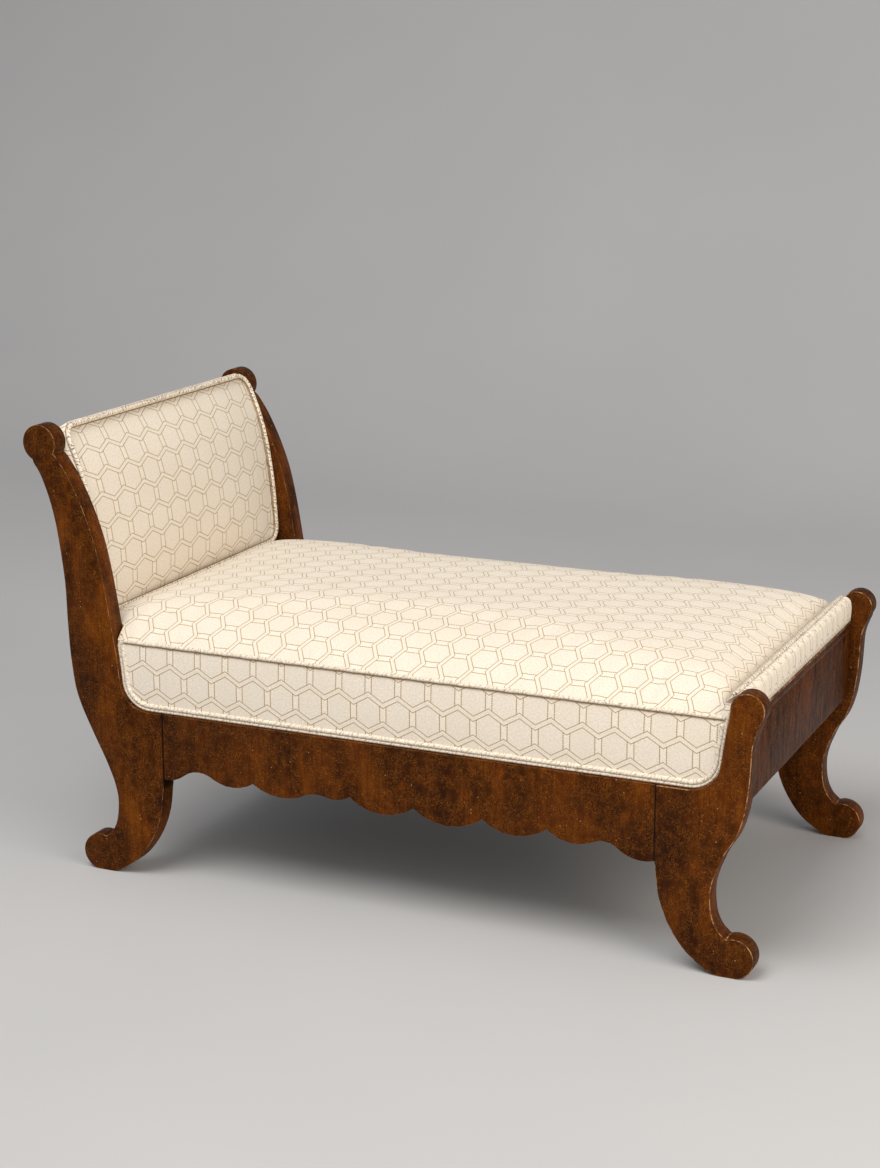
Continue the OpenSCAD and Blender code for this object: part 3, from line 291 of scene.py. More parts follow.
def figured_veneer(name, tones, stretch=0.4, streak=0.3, wear_and_highlight=0.0, slant=0.0):
    """Shellacked mahogany, dark and deep with a soft gloss. Tones go from the
    darkest cloud to the palest, stretch is the clouds' width as a share of
    their height and streak the streaks' strength. The argument after streak is
    the share of pale rub on the arris, partly wear and partly a painted highlight."""
    wood, shader = new_material(name, IOR=1.45, Specular_IOR_Level=0.07,
                                Coat_Weight=0.04, Coat_Roughness=0.16)
    place = add(wood, "TexCoord").outputs["Object"]
    upright = add(wood, "Mapping", {"Vector": place, "Rotation": (0, slant, 0),
                                    "Scale": (1, 1, stretch)})
    clouds = add(wood, "TexNoise", (upright, clouds_a_metre, 3.0, 0.5, 2.0, 0.6))
    body = add(wood, "ValToRGB", (clouds,))
    stops = body.color_ramp.elements
    while len(stops) < len(tones):
        stops.new(0.5)
    for stop, (at, tone) in zip(stops, tones):
        stop.position, stop.color = at, linear(tone)
    mottle = add(wood, "TexNoise", (upright, mottle_a_metre, 4.0, 0.6, 2.0, 1.0))
    fibres = add(wood, "Mapping", {"Vector": place, "Rotation": (0, slant, 0),
                                   "Scale": (1, 1, 0.05)})
    streaks = add(wood, "TexNoise", (fibres, streaks_a_metre, 3.0, 0.6, 2.0, 0.15))
    layers = [
        (add(wood, "MapRange", (mottle, 0.5, 0.7, 0.0, 0.32), **smooth), "#7a3d08"),
        (add(wood, "MapRange", (mottle, 0.32, 0.5, 0.12, 0.0), **smooth), "#1f0c01"),
        (add(wood, "MapRange", (streaks, 0.36, 0.6, streak, 0.0), **smooth), "#1c0a03")]
    # Hairs: the thin lines where a twisted noise passes through its middle
    twisted = add(wood, "TexNoise", (place, hairs_a_metre, 2.0, 0.6, 2.0, 1.8))
    middle = add(wood, "Math", (twisted, 0.5), operation="SUBTRACT")
    middle = add(wood, "Math", (middle,), operation="ABSOLUTE")
    line = add(wood, "MapRange", (middle, 0.0, 0.035, 0.62, 0.0), **smooth)
    patch = add(wood, "TexNoise", (place, patches_a_metre, 3.0, 0.55))
    patch = add(wood, "MapRange", (patch, 0.34, 0.54), **smooth)
    hairs = add(wood, "Math", (line, patch), operation="MULTIPLY")
    layers.append((hairs, "#9a5c1c"))
    # Nicks: small cells of which only a few are pale
    cells = add(wood, "TexVoronoi", {"Vector": place, "Scale": nicks_a_metre})
    chosen = add(wood, "SeparateColor", (cells.outputs["Color"],))
    chosen = add(wood, "MapRange", (chosen, 0.76, 0.82, 0.0, 0.6), **smooth)
    centre = add(wood, "MapRange", (cells, 0.05, 0.1, 1.0, 0.0), **smooth)
    nicks = add(wood, "Math", (centre, chosen), operation="MULTIPLY")
    layers.append((nicks, "#d0aa84"))
    # Pale rub on the bevels: partly polish worn through, partly a painted highlight for the
    # light that the eased edges catch
    if wear_and_highlight:
        rubs = add(wood, "TexNoise", (place, rubs_a_metre, 5.0, 0.8))
        rubbed_and_highlit = add(wood, "MapRange", (rubs, 0.45, 0.6, 0.06, wear_and_highlight), **smooth)
        layers.append((rubbed_and_highlit, "#c09a70"))
    # Painted shade: a dark line where the aprons butt against the posts, standing in for the
    # shadow in that crevice
    along = add(wood, "SeparateXYZ", (place,)).outputs["X"]
    for joint in joints:
        gap = add(wood, "Math", (along, joint), operation="SUBTRACT")
        gap = add(wood, "Math", (gap,), operation="ABSOLUTE")
        joint_shade = add(wood, "MapRange", (gap, 0.0009, 0.0022, 0.92, 0.0), **smooth)
        layers.append((joint_shade, "#120602"))
    for share, tone in layers:
        body = add(wood, "Mix", (share, body, tone), **blend)
    dullness = add(wood, "MapRange", (streaks, 0.3, 0.7, 0.6, 0.42), **smooth)
    feed(wood, shader, body, dullness, streaks, 0.0001)
    return wood


veneer_tones = [(0.32, "#321502"), (0.45, "#3f1d02"), (0.57, "#532703"),
                (0.7, "#693604")]
veneer = figured_veneer("mahogany_veneer", veneer_tones)
arris = figured_veneer("mahogany_arris_wear_and_highlight", veneer_tones, wear_and_highlight=0.7)
board_tones = [(0.3, "#1a0902"), (0.5, "#311402"), (0.7, "#522404")]
board = figured_veneer("mahogany_board", board_tones, stretch=0.12, streak=0.6,
                       slant=0.25)
print("veneer:", len(veneer.node_tree.nodes), "nodes, joints at", np.round(joints, 3))

# %% [markdown]
# ## Easing the arrises
# A sawn edge is never left sharp. The posts keep the exact outline of their
# solids, so each is a copy with its loose triangles joined, its flat faces
# made whole again, and a millimetre taken off every arris by a bevel. Hands
# rub the polish off there first, and the edge catches the light, so the bevel
# has a paler finish of its own: partly wear and partly a painted highlight.

# %% Posts, aprons and boards
arris_width, weld, flat_angle, sharp_angle = 0.0013, 0.00002, 0.01, 0.7


def eased(node, material, wear_and_highlight):
    """A copy of a wooden solid with its arrises rounded, and a paler finish on the bevels
    that is partly wear and partly a painted highlight.
    """
    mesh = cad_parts[node].data.copy()
    mesh.name = node + "_eased"
    work = bmesh.new()
    work.from_mesh(mesh)
    bmesh.ops.remove_doubles(work, verts=work.verts, dist=weld)
    bmesh.ops.dissolve_limit(work, angle_limit=flat_angle, verts=work.verts,
                             edges=work.edges)
    work.to_mesh(mesh)
    work.free()
    mesh.materials.clear()
    mesh.materials.append(material)
    mesh.materials.append(wear_and_highlight)
    mesh.polygons.foreach_set("material_index", np.zeros(len(mesh.polygons), np.int32))
    mesh.polygons.foreach_set("use_smooth", np.ones(len(mesh.polygons), bool))
    piece = bpy.data.objects.new(node + "_eased", mesh)
    bpy.context.scene.collection.objects.link(piece)
    bevel = piece.modifiers.new("arris", "BEVEL")
    bevel.width, bevel.segments, bevel.material = arris_width, 2, 1
    bevel.limit_method, bevel.angle_limit = "ANGLE", sharp_angle
    bevel.harden_normals = True
    return settle(piece, "show_wood", node)


for node in ("head_post_front", "head_post_rear", "foot_post_front", "foot_post_rear",
             "apron_front", "apron_rear"):
    eased(node, veneer, arris)
for node in ("foot_board", "foot_cap", "head_board"):
    eased(node, board, arris)

# %% [markdown]
# ## The cover cloth
# It is a woven cotton in cream, with a lattice of hexagons. Satin bars run
# between the cells, wide ones in one direction and narrow ones on the slopes,
# and a tan thread edges every bar. A shader can draw it from distances alone:
# wrap the cloth's own lengths onto one hexagon, measure how far the point is
# from its upright sides and from its sloping sides, and colour by that.

# %% Woven cotton with a hexagon lattice
side = 0.0327                    # of one hexagon, between the middles of bars
pitch = side * 3 ** 0.5          # from one hexagon to the next
wide_half, narrow_half = 0.0060, 0.0041
bar_blur = 0.0004                # over which a bar's edge fades each way
stitch_length = 0.0042           # of the broken thread along the wide bars


def laid_out(across, along, bar, stretch):
    """The cloth's own lengths, set out so that the middle of one wide bar falls
    at a given place, and scaled where the cloth is drawn tight or eased in."""
    return np.stack([(across - bar[0]) * stretch[0] + pitch / 2,
                     (along - bar[1]) * stretch[1]], -1)


def lattice_cotton(name):
    """Cotton with its lattice on the map named cloth, in metres: the first
    length runs across the wide bars and the second along them. The ground is
    dull and the satin of the bars has a faint shine."""
    cloth, shader = new_material(name, IOR=1.45, Sheen_Weight=0.12,
                                 Sheen_Roughness=0.5, Specular_IOR_Level=0.3)
    place = add(cloth, "UVMap", uv_map="cloth")
    most, least = (pitch / 2, 1.5 * side, 0), (-pitch / 2, -1.5 * side, 0)
    one = add(cloth, "VectorMath", (place, most, least), operation="WRAP")
    moved = add(cloth, "VectorMath", (place, most), operation="ADD")
    other = add(cloth, "VectorMath", (moved, most, least), operation="WRAP")
    reaches = [add(cloth, "VectorMath", (cell,), operation="LENGTH")
               for cell in (one, other)]
    further = add(cloth, "Math", reaches, operation="GREATER_THAN")
    cell = add(cloth, "Mix", (further, one, other), data_type="VECTOR")
    cell = add(cloth, "VectorMath", (cell,), operation="ABSOLUTE")

    def beyond(direction, half):
        """Distance from a side of the hexagon, less half of its bar's width."""
        reach = add(cloth, "VectorMath", (cell, direction), operation="DOT_PRODUCT")
        return add(cloth, "Math", (pitch / 2 - half, reach), operation="SUBTRACT")

    upright = beyond((1, 0, 0), wide_half)
    sloping = beyond((0.5, 0.75 ** 0.5, 0), narrow_half)
    # The satin shines on the wide bars, and only faintly on the slopes
    wide_bar = add(cloth, "MapRange", (upright, -bar_blur, bar_blur, 1.0, 0.0), **smooth)
    slope_bar = add(cloth, "MapRange", (sloping, -bar_blur, bar_blur, 0.14, 0.0), **smooth)
    bar = add(cloth, "Math", (wide_bar, slope_bar), operation="MAXIMUM")
    # Threads: along every sloping bar, and along the wide bars between them
    slope_line = add(cloth, "Math", (sloping,), operation="ABSOLUTE")
    slope_thread = add(cloth, "MapRange", (slope_line, 0.0004, 0.0011, 1.0, 0.0), **smooth)
    wide_line = add(cloth, "Math", (upright,), operation="ABSOLUTE")
    wide_line = add(cloth, "MapRange", (wide_line, 0.0005, 0.0013, 1.0, 0.0), **smooth)
    open_side = add(cloth, "MapRange", (sloping, -bar_blur, 0.0002), **smooth)
    wide_line = add(cloth, "Math", (wide_line, open_side), operation="MULTIPLY")
    along = add(cloth, "SeparateXYZ", (place,)).outputs["Y"]
    stitch = add(cloth, "Math", (along, 2 * np.pi / stitch_length), operation="MULTIPLY")
    stitch = add(cloth, "Math", (stitch,), operation="SINE")
    stitch = add(cloth, "MapRange", (stitch, -0.8, 0.0, 0.45, 1.0), **smooth)
    wide_thread = add(cloth, "Math", (wide_line, stitch), operation="MULTIPLY")
    # The ribs are half a millimetre apart, too fine for any picture to show, so a
    # mottle of 4 mm stands for them, and patches of 110 mm have yellowed with age
    grain = add(cloth, "TexNoise", (place, 270.0, 3.0, 0.7))
    grain_share = add(cloth, "MapRange", (grain, 0.3, 0.7), **smooth)
    age = add(cloth, "TexNoise", (place, 9.0, 3.0))
    age = add(cloth, "MapRange", (age, 0.35, 0.65, 0.0, 0.3), **smooth)
    ground = add(cloth, "Mix", (grain_share, "#dfd3c2", "#f2e9db"), **blend)
    ground = add(cloth, "Mix", (age, ground, "#e2d6c2"), **blend)
    satin = add(cloth, "Mix", (grain_share, "#e5d9c6", "#f4ebdd"), **blend)
    body = add(cloth, "Mix", (bar, ground, satin), **blend)
    for line, strength, tan in ((slope_thread, 0.9, "#a38a60"),
                                (wide_thread, 0.95, "#9c7a45")):
        share = add(cloth, "Math", (line, strength), operation="MULTIPLY")
        body = add(cloth, "Mix", (share, body, tan), **blend)
    relief = add(cloth, "Math", (grain, 0.4), operation="MULTIPLY")
    relief = add(cloth, "Math", (bar, relief), operation="ADD")
    dullness = add(cloth, "MapRange", (bar, 0, 1, 0.82, 0.55), **smooth)
    feed(cloth, shader, body, dullness, relief, 0.0003)
    return cloth


cotton = lattice_cotton("cream_lattice_cotton")
print("cotton:", len(cotton.node_tree.nodes), "nodes, hexagons", round(pitch, 4), "apart")

# %% [markdown]
# ## Cords
# The welts are piping cord wrapped in strips of the same cloth, cut on the
# bias. So little of the lattice lands on a cord that it turns into flecks
# that wind along it. The flecks come from a noise on the cord's own map,
# whose two lengths run round it and along it.

# %% Bias-cut cord and waxed thread
girth, fleck_step = 0.024, 0.009


def bias_cord(name, flecks):
    """Dull cotton with tan flecks on a helix, which the bias of the strip makes:
    they lie where sin(2 pi (along/fleck_step + round/girth) + wander) is near 1.
    One noise of 14 mm makes the helix wander, and another of 6 mm leaves many
    of the flecks out and dents the cord."""
    cord, shader = new_material(name, IOR=1.45, Sheen_Weight=0.1,
                                Specular_IOR_Level=0.3, Roughness=0.75)
    place = add(cord, "UVMap", uv_map="cloth")
    helix = add(cord, "VectorMath", (place, (1 / girth, 1 / fleck_step, 0)),
                operation="DOT_PRODUCT")
    wander = add(cord, "TexNoise", (place, 70.0, 3.0, 0.55))
    wander = add(cord, "MapRange", (wander, 0.2, 0.8, 0.0, 9.0), **smooth)
    wave = add(cord, "Math", (helix, 2 * np.pi, wander), operation="MULTIPLY_ADD")
    wave = add(cord, "Math", (wave,), operation="SINE")
    wave = add(cord, "MapRange", (wave, 0.3, 0.8), **smooth)
    marks = add(cord, "TexNoise", (place, 170.0, 4.0, 0.7, 2.0, 1.2))
    tone = add(cord, "MapRange", (marks, 0.3, 0.6), **smooth)
    body = add(cord, "Mix", (tone, "#dccdb6", "#f2e8d8"), **blend)
    left_in = add(cord, "MapRange", (marks, 0.42, 0.54, 0.0, flecks), **smooth)
    lines = add(cord, "Math", (wave, left_in), operation="MULTIPLY")
    body = add(cord, "Mix", (lines, body, "#6e5230"), **blend)
    feed(cord, shader, body, None, marks, 0.0008)
    return cord


plain_cord = bias_cord("cream_bias_cord", 0.55)
flecked_cord = bias_cord("flecked_bias_cord", 1.0)
# Waxed linen thread: brown, dull, and uneven over a millimetre
thread, shader = new_material("waxed_thread", Roughness=0.8)
tone = add(thread, "TexNoise", (add(thread, "TexCoord").outputs["Object"], 900.0, 3.0, 0.55))
feed(thread, shader, add(thread, "Mix", (tone, "#7c5a2c", "#a98752"), **blend))
print("cords:", plain_cord.name, flecked_cord.name, "and", thread.name)


# %% Cords along paths
def cord_rings(path, radius, across, sides=12, closed=False):
    """Rings round a path: at each point radius times (cos q, sin q) along two
    directions square to the path, the first taken from the vector across."""
    path = np.asarray(path, float)
    if closed:
        along = np.roll(path, -1, 0) - np.roll(path, 1, 0)
    else:
        along = np.gradient(path, axis=0)
    along /= np.linalg.norm(along, axis=1, keepdims=True)
    one = np.broadcast_to(np.asarray(across, float), path.shape)
    one = one - (one * along).sum(1, keepdims=True) * along
    one /= np.linalg.norm(one, axis=1, keepdims=True)
    two = np.cross(along, one)
    q = np.linspace(0, 2 * np.pi, sides, endpoint=False)[None, :, None]
    radius = np.broadcast_to(np.asarray(radius, float).reshape(-1, 1, 1),
                             (len(path), 1, 1))
    return path[:, None] + radius * (np.cos(q) * one[:, None] + np.sin(q) * two[:, None])


def make_cords(name, paths, radius, across, material, closed=False, sides=12):
    """Cords along paths as one piece. An open cord ends in a small dome whose
    rings follow a quarter circle, and its last ring is closed by one face."""
    points, faces, places, start = [], [], [], 0
    for path, radius in zip(paths, np.broadcast_to(radius, len(paths))):
        path = np.asarray(path, float)
        size = np.full(len(path), radius)
        if not closed:
            q = np.linspace(0, 1.35, 5)[1:]
            domes = [path[k] - e / np.linalg.norm(e) * radius * np.sin(q)[:, None]
                     for k, e in ((0, path[1] - path[0]), (-1, path[-2] - path[-1]))]
            path = np.vstack([domes[0][::-1], path, domes[1]])
            size = np.concatenate([radius * np.cos(q)[::-1], size, radius * np.cos(q)])
        rings = cord_rings(path, size, across, sides, closed)
        count = len(rings)
        quads, corners = grid_quads(count, sides, closed, True)
        steps = np.linalg.norm(np.diff(path, axis=0), axis=1)
        run = np.r_[0, np.cumsum(steps), [steps.sum() + steps[-1]] * closed]
        table = np.stack(np.broadcast_arrays(
            np.linspace(0, 2 * np.pi * radius, sides + 1)[None],
            run[:count + closed, None]), -1).reshape(-1, 2)
        points.append(rings.reshape(-1, 3))
        faces.append(quads + start)
        places.append(table[corners])
        if not closed:
            caps = np.array([np.arange(sides)[::-1], np.arange(sides)
                             + (count - 1) * sides]) + start
            faces.append(caps)
            places.append(np.zeros(caps.shape + (2,)))
        start += count * sides
    return make_piece(name, np.vstack(points), faces, material, places)


# %% [markdown]
# ## Cushions are closed skins
# A cushion is two grids, its face and its underside, with a wall wherever the
# cells stop. Hand work is never even, so waves whose spacing wanders pucker
# every seam. Then air does what stuffing does: Blender's cloth swells the
# skin while its seams are held.

# %% Slabs and their maps
def slab(top, bottom, keep):
    """Quads of a closed solid between two grids: the kept cells of both, and a
    wall wherever a kept cell has no kept neighbour."""
    rows, columns = top.shape[:2]
    index = np.arange(rows * columns).reshape(rows, columns)
    a, b, c, d = index[:-1, :-1], index[1:, :-1], index[1:, 1:], index[:-1, 1:]
    under = rows * columns
    padded = np.pad(keep, 1)
    quads = [np.stack([a, b, c, d], -1)[keep],
             np.stack([d, c, b, a], -1)[keep] + under]
    for p, q, gone in ((a, b, padded[1:-1, :-2]), (b, c, padded[2:, 1:-1]),
                       (c, d, padded[1:-1, 2:]), (d, a, padded[:-2, 1:-1])):
        wall = keep & ~gone
        quads.append(np.stack([p[wall] + under, q[wall] + under, q[wall], p[wall]], -1))
    return np.vstack([top.reshape(-1, 3), bottom.reshape(-1, 3)]), np.vstack(quads)


def every_cell(grid):
    """A slab's choice of cells when it keeps them all."""
    return np.ones(np.array(grid.shape[:2]) - 1, bool)


def on_both(own, quads):
    """The cloth's own lengths at the corners of a slab's quads, whose two grids
    carry the same lengths."""
    own = own.reshape(-1, 2)
    return np.vstack([own, own])[quads]


def arc_lengths(points, axis):
    """Distance travelled over a grid along one of its two ways."""
    gaps = np.linalg.norm(np.diff(points, axis=axis), axis=2)
    return np.insert(np.cumsum(gaps, axis), 0, 0, axis)


def steps_between(start, end, size):
    """Evenly spaced places from start up to, but not at, the end."""
    return np.linspace(start, end, max(2, int(round((end - start) / size)) + 1))[:-1]


def uneven(run, rate, wander, slow_run, slow):
    """Waves whose spacing wanders: the sine of the rate times the run, plus the
    wander times the sine of a slower rate, both in radians to the metre."""
    return np.sin(run * rate + wander * np.sin(slow_run * slow))


# %% Swelling a cushion
air_pressure, last_frame = 4.0, 20


def stuffed(name, points, quads, free, cap=0.004):
    """Lets Blender's cloth swell a closed mesh: twenty frames of air pressure
    with no gravity, the seams pinned, and no point moved by more than the cap."""
    mesh = bpy.data.meshes.new(name)
    mesh.from_pydata(points.tolist(), [], quads.tolist())
    body = bpy.data.objects.new(name, mesh)
    bpy.context.scene.collection.objects.link(body)
    pins = body.vertex_groups.new(name="seams")
    pins.add(np.flatnonzero(~free).tolist(), 1.0, "REPLACE")
    cloth = body.modifiers.new("stuffing", "CLOTH")
    cloth.settings.use_pressure = True
    cloth.settings.uniform_pressure_force = air_pressure
    cloth.settings.vertex_group_mass = "seams"
    cloth.settings.effector_weights.gravity = 0
    cloth.settings.shrink_min = -0.01
    cloth.settings.bending_stiffness = 0.8
    cloth.point_cache.frame_start, cloth.point_cache.frame_end = 1, last_frame
    scene = bpy.context.scene
    for step in range(1, last_frame + 1):
        scene.frame_set(step)
    shown = body.evaluated_get(bpy.context.evaluated_depsgraph_get()).data
    moved = np.empty(len(points) * 3, np.float32)
    shown.vertices.foreach_get("co", moved)
    scene.frame_set(1)
    bpy.data.objects.remove(body)
    bpy.data.meshes.remove(mesh)
    shift = moved.reshape(-1, 3) - points
    length = np.linalg.norm(shift, axis=1, keepdims=True)
    print(f"{name}: swelled up to {length.max() * 1000:.1f} mm, kept to {cap * 1000:.0f}")
    return points + shift * cap * np.tanh(length / cap) / np.maximum(length, 1e-9)


# %% [markdown]
# ## The seat's crown
# The seat is stuffed hard over coil springs, then a pad of cotton gives it a
# soft crown under the cover. Its height is a formula: a full cross section,
# drawn down to the seams, blended with ends that round down to the panel and
# to the roll. Between the posts the cover runs further than beside them, so
# the grid drops the cells that the posts stand in.

# %% Crowned seat
seat_half = (seat_foot_x - seat_head_x) / 2
crown_rise, crown_power = 0.080, 4.5     # above the seams, and how full it is
end_rise, end_sweep = 0.021, 0.117       # at the panel and the roll, and from there up
least_rise = 0.00008                     # keeps the blend finite along the seams


def seat_height(x, y):
    """The seam's height plus the fourth-power blend of two rises: across, the
    crown's times 1 - |y/side|^4.5, and at the ends, their own plus the sweep
    times the root of inward/half."""
    across = crown_rise * (1 - np.minimum(np.abs(y) / cloth_y, 1) ** crown_power)
    across = np.maximum(across, least_rise)
    inward = np.maximum(0, np.minimum(x - panel_foot_x, seat_foot_x - x))
    ends = end_rise + end_sweep * np.sqrt(inward / seat_half)
    return seam_z + (across ** -4.0 + ends ** -4.0) ** -0.25


def covered(x, y):
    """Cells that the seat covers: between the posts as far as the roll, and
    beside them from the head posts on."""
    x, y = ((grid[:-1, :-1] + grid[1:, 1:]) / 2 for grid in (x, y))
    return np.where(np.abs(y) < tongue_y, x < seat_foot_x, x > flank_head_x)


seat_xs = np.concatenate([steps_between(seat_head_x, flank_head_x, 0.006),
                          steps_between(flank_head_x, seat_foot_x, 0.008),
                          np.linspace(seat_foot_x, flank_foot_x, 4)])
flank = np.concatenate([steps_between(-cloth_y, -tongue_y, 0.004),
                        steps_between(-tongue_y, 0, 0.008)])
x, y = np.meshgrid(seat_xs, np.concatenate([flank, [0.0], -flank[::-1]]), indexing="ij")
pucker_depth, pucker_reach = 0.0009, 0.018
pull = pucker_depth * uneven(x, 190, 1.3, x, 37) * np.exp(
    -(cloth_y - np.abs(y)) / pucker_reach)
top = np.stack([x, y, seat_height(x, y) + pull], -1)
bottom = np.stack([x, y, np.full_like(x, stuffing_top + 0.0005)], -1)
points, quads = slab(top, bottom, covered(x, y))
# Only the top may swell, and only clear of its seams
margin = 0.001
between_ends = (x > seat_head_x + margin) & (x < seat_foot_x - margin)
off_the_post = (np.abs(y) < tongue_y - margin) | (x > flank_head_x + margin)
free = between_ends & off_the_post & (np.abs(y) < cloth_y - margin)
free = np.concatenate([free.ravel(), np.zeros(free.size, bool)])
points = stuffed("seat_swelling", points, quads, free)
# The cloth's own lengths: along the seat, and across it over the crown
over = arc_lengths(top, 1)
over -= over[:, [len(flank)]]
middle = len(seat_xs) // 2
along = arc_lengths(top, 0)
along += x[middle] - along[middle]
seat_bar, seat_ease = (-0.3538, 0.1842), (1.058, 1.09)
seat_map = laid_out(over, along, seat_bar, seat_ease)
seat_top = make_piece("seat_top_cushion", points, [quads], cotton,
                      [on_both(seat_map, quads)])
settle(seat_top, "cover_cloth", "seat_top_cover", "seat_pad")

# %% [markdown]
# ## Boxing
# The sides of the seat are strips of the same cloth, stretched over the edge
# of the stuffing and tacked along the wood. Each is a sheet drawn between two
# lines: the wood's edge below, which turns up at both posts, and the seam
# above. It bulges a little between them, and small puckers run in from the
# seam where the thread draws it.

# %% Front and rear boxing
welt_reach = 0.46          # height to which the welts follow the posts
wood_line = np.vstack([head_edge[head_edge[:, 1] < welt_reach][::-1],
                       foot_edge[foot_edge[:, 1] < welt_reach]])
side_line = evenly(wood_line[(wood_line[:, 1] < stuffing_top + 0.0045)], 0.006)
side_line = shifted(side_line, 0.0004)
boxing_face, boxing_lining = cloth_y - 0.0004, cloth_y - 0.0015
bulge_depth, draw_depth, draw_reach = 0.0036, 0.0007, 0.014
end_fade = 60              # the bulge grows over a sixtieth of the length
seam_crowding = 0.25       # a rise of the edge below counts a quarter along the seam
boxing_bar, boxing_ease, row_slope = (0.0157, 0.373), (1, 0.98), 0.0083


def make_boxing(name, node, face):
    """Straight lines from the wood's edge to the seam, with the middle of each
    moved out by the bulge times the square root of sin(pi t)."""
    # The ends of the seam crowd towards the posts, as the corners do below
    step_x, step_z = np.abs(np.diff(side_line, axis=0)).T
    run = np.r_[0, np.cumsum(step_x + seam_crowding * step_z)]
    seam = side_line[0, 0] + run / run[-1] * (side_line[-1, 0] - side_line[0, 0])
    seam = np.stack([seam, np.full(len(seam), seam_z - 0.0015)], 1)
    t = np.linspace(0, 1, 22)[None, :]
    x, z = (side_line[:, [k]] * (1 - t) + seam[:, [k]] * t for k in (0, 1))
    share = np.linspace(0, 1, len(side_line))
    ends = np.tanh(np.minimum(share, 1 - share)[:, None] * end_fade)
    arch = np.sin(np.pi * t).clip(0)
    bulge = bulge_depth * np.sqrt(arch) * ends
    draw = draw_depth * uneven(x, 260, 2, x, 41) * (
        np.exp(-(seam_z - z) / draw_reach) + np.exp(-t * 6)) * ends
    out = boxing_face + bulge + draw * arch ** 0.3
    front = np.stack([x, face * out, z], -1)
    back = np.stack([x, np.full_like(out, face * boxing_lining), z], -1)
    points, quads = slab(front, back, every_cell(front))
    # The woven rows run down a little towards the foot
    own = laid_out(x, z + row_slope * x, boxing_bar, boxing_ease)
    piece = make_piece(name, points, [quads], cotton, [on_both(own, quads)])
    return settle(piece, "cover_cloth", node)


for name, node, face in (("boxing_front_strip", "boxing_front", -1),
                         ("boxing_rear_strip", "boxing_rear", 1)):
    strip = make_boxing(name, node, face)

# %% [markdown]
# ## Welts of the seat
# A double welt hides the tacks along the wood: two cords in one strip, run
# from post to post. At the head it turns in over the corner and goes on as
# the single cord of the seam.

# %% Double and single welts
welt_y = cloth_y + 0.0015
cloth_cord, seam_cord, tuck_cord = 0.0042, 0.0034, 0.0021
stitch_radius = 0.0011
wood_cord_end, cloth_cord_end = 0.456, 0.437     # heights at the posts
line = evenly(wood_line, 0.004)
near_wood = shifted(line, welt_radius)
near_cloth = shifted(line, 2 * welt_radius + cloth_cord)
# At the head the cord by the wood curls over and becomes the seam's cord
curl, curl_z = 0.011, seam_z - 0.0105
at_head = near_wood[:, 0] < 0
near_wood = near_wood[(near_wood[:, 1] < wood_cord_end)
                      & ~(at_head & (near_wood[:, 1] > curl_z))]
near_cloth = near_cloth[near_cloth[:, 1] < cloth_cord_end]
curl_x = near_wood[0, 0] + curl
q = np.linspace(0, np.pi / 2, 9)
curled = np.stack([curl_x - curl * np.cos(q), curl_z + curl * np.sin(q)], 1)
seam = np.stack([np.linspace(curl_x + 0.004, flank_foot_x - 0.009, 200),
                 np.full(200, seam_z + 0.0005)], 1)
seam[:, 1] += 0.0004 * np.sin(seam[:, 0] * 120) * np.sin(seam[:, 0] * 31)
seam = np.vstack([curled, seam])
# A thinner cord edges the cover where it is tucked in beside the post
tuck = evenly([(flank_head_x + 0.002, cloth_y), (flank_head_x + 0.001, tongue_y + 0.0015),
               (flank_head_x - 0.004, tongue_y - 0.0015),
               (panel_foot_x - 0.004, tongue_y - 0.0015)], 0.003)
tuck = np.column_stack([tuck, seat_height(*tuck.T) + 0.001])


def on_side(flat, face, out=0.0):
    """A path of the X-Z plane set in front of the cloth of one side."""
    return np.stack([flat[:, 0], np.full(len(flat), face * welt_y) + face * out,
                     flat[:, 1]], 1)


for side_name, face in (("front", -1), ("rear", 1)):
    cords = make_cords(f"double_welt_{side_name}_cords",
                       [on_side(near_wood, face), on_side(near_cloth, face)],
                       (welt_radius, cloth_cord), (0, 1, 0), plain_cord)
    settle(cords, "cover_cloth", f"double_welt_{side_name}")
    # A brown thread below the seam cord: partly the real stitching, partly a dark line
    # painted in for the shadow under the cord
    stitches = on_side(seam[8:] - (0, 0.0041), face, 0.0007)
    stitches = make_cords(f"seam_stitching_and_shadow_{side_name}", [stitches], stitch_radius,
                          (0, 1, 0), thread, sides=6)
    settle(stitches, "cover_cloth")
    cord = make_cords(f"seam_welt_{side_name}_cord", [on_side(seam, face)], seam_cord,
                      (0, 1, 0), plain_cord)
    settle(cord, "cover_cloth", f"seam_welt_{side_name}")
    cord = make_cords(f"tucked_edge_{side_name}_cord", [tuck * (1, face, 1)], tuck_cord,
                      (0, 0, 1), flecked_cord)
    settle(cord, "cover_cloth")

# %% [markdown]
# ## The head panel
# The panel is a frame of its own with rounded corners, webbed, stuffed and
# covered before it is screwed between the posts. Its face follows the sweep
# of the posts and swells towards the middle. A grid suits it if each row is
# only as wide as the rounded outline is at that height.

# %% Head panel
panel_half = (panel_top - panel_bottom) / 2
panel_mid = (panel_top + panel_bottom) / 2
panel_depth = 0.037
panel_crown_rise = 0.014


def outline_half(z, inset=0.0):
    """Half width of the rounded outline at a height: the full half width, less
    what a quarter circle takes from it near the top and the bottom."""
    radius = panel_corner - inset
    rise_in = np.maximum(np.abs(z - panel_mid) - (panel_half - inset - radius), 0)
    return tongue_y - inset - radius + np.sqrt(np.maximum(radius ** 2 - rise_in ** 2, 0))


def panel_crown(y, z):
    """Rise of the face: its most times 1 minus the cube of each way's offset."""
    return panel_crown_rise * (1 - np.minimum(np.abs(y) / tongue_y, 1) ** 3) * (
        1 - np.minimum(np.abs(z - panel_mid) / panel_half, 1) ** 3)


def crowded(count, share):
    """Places from -1 to 1 that crowd at both ends: sines of an even spread over
    a share of a quarter turn each way, divided by the last of them."""
    return np.sin(np.linspace(-1, 1, count) * np.pi / 2 * share) / np.sin(
        np.pi / 2 * share)


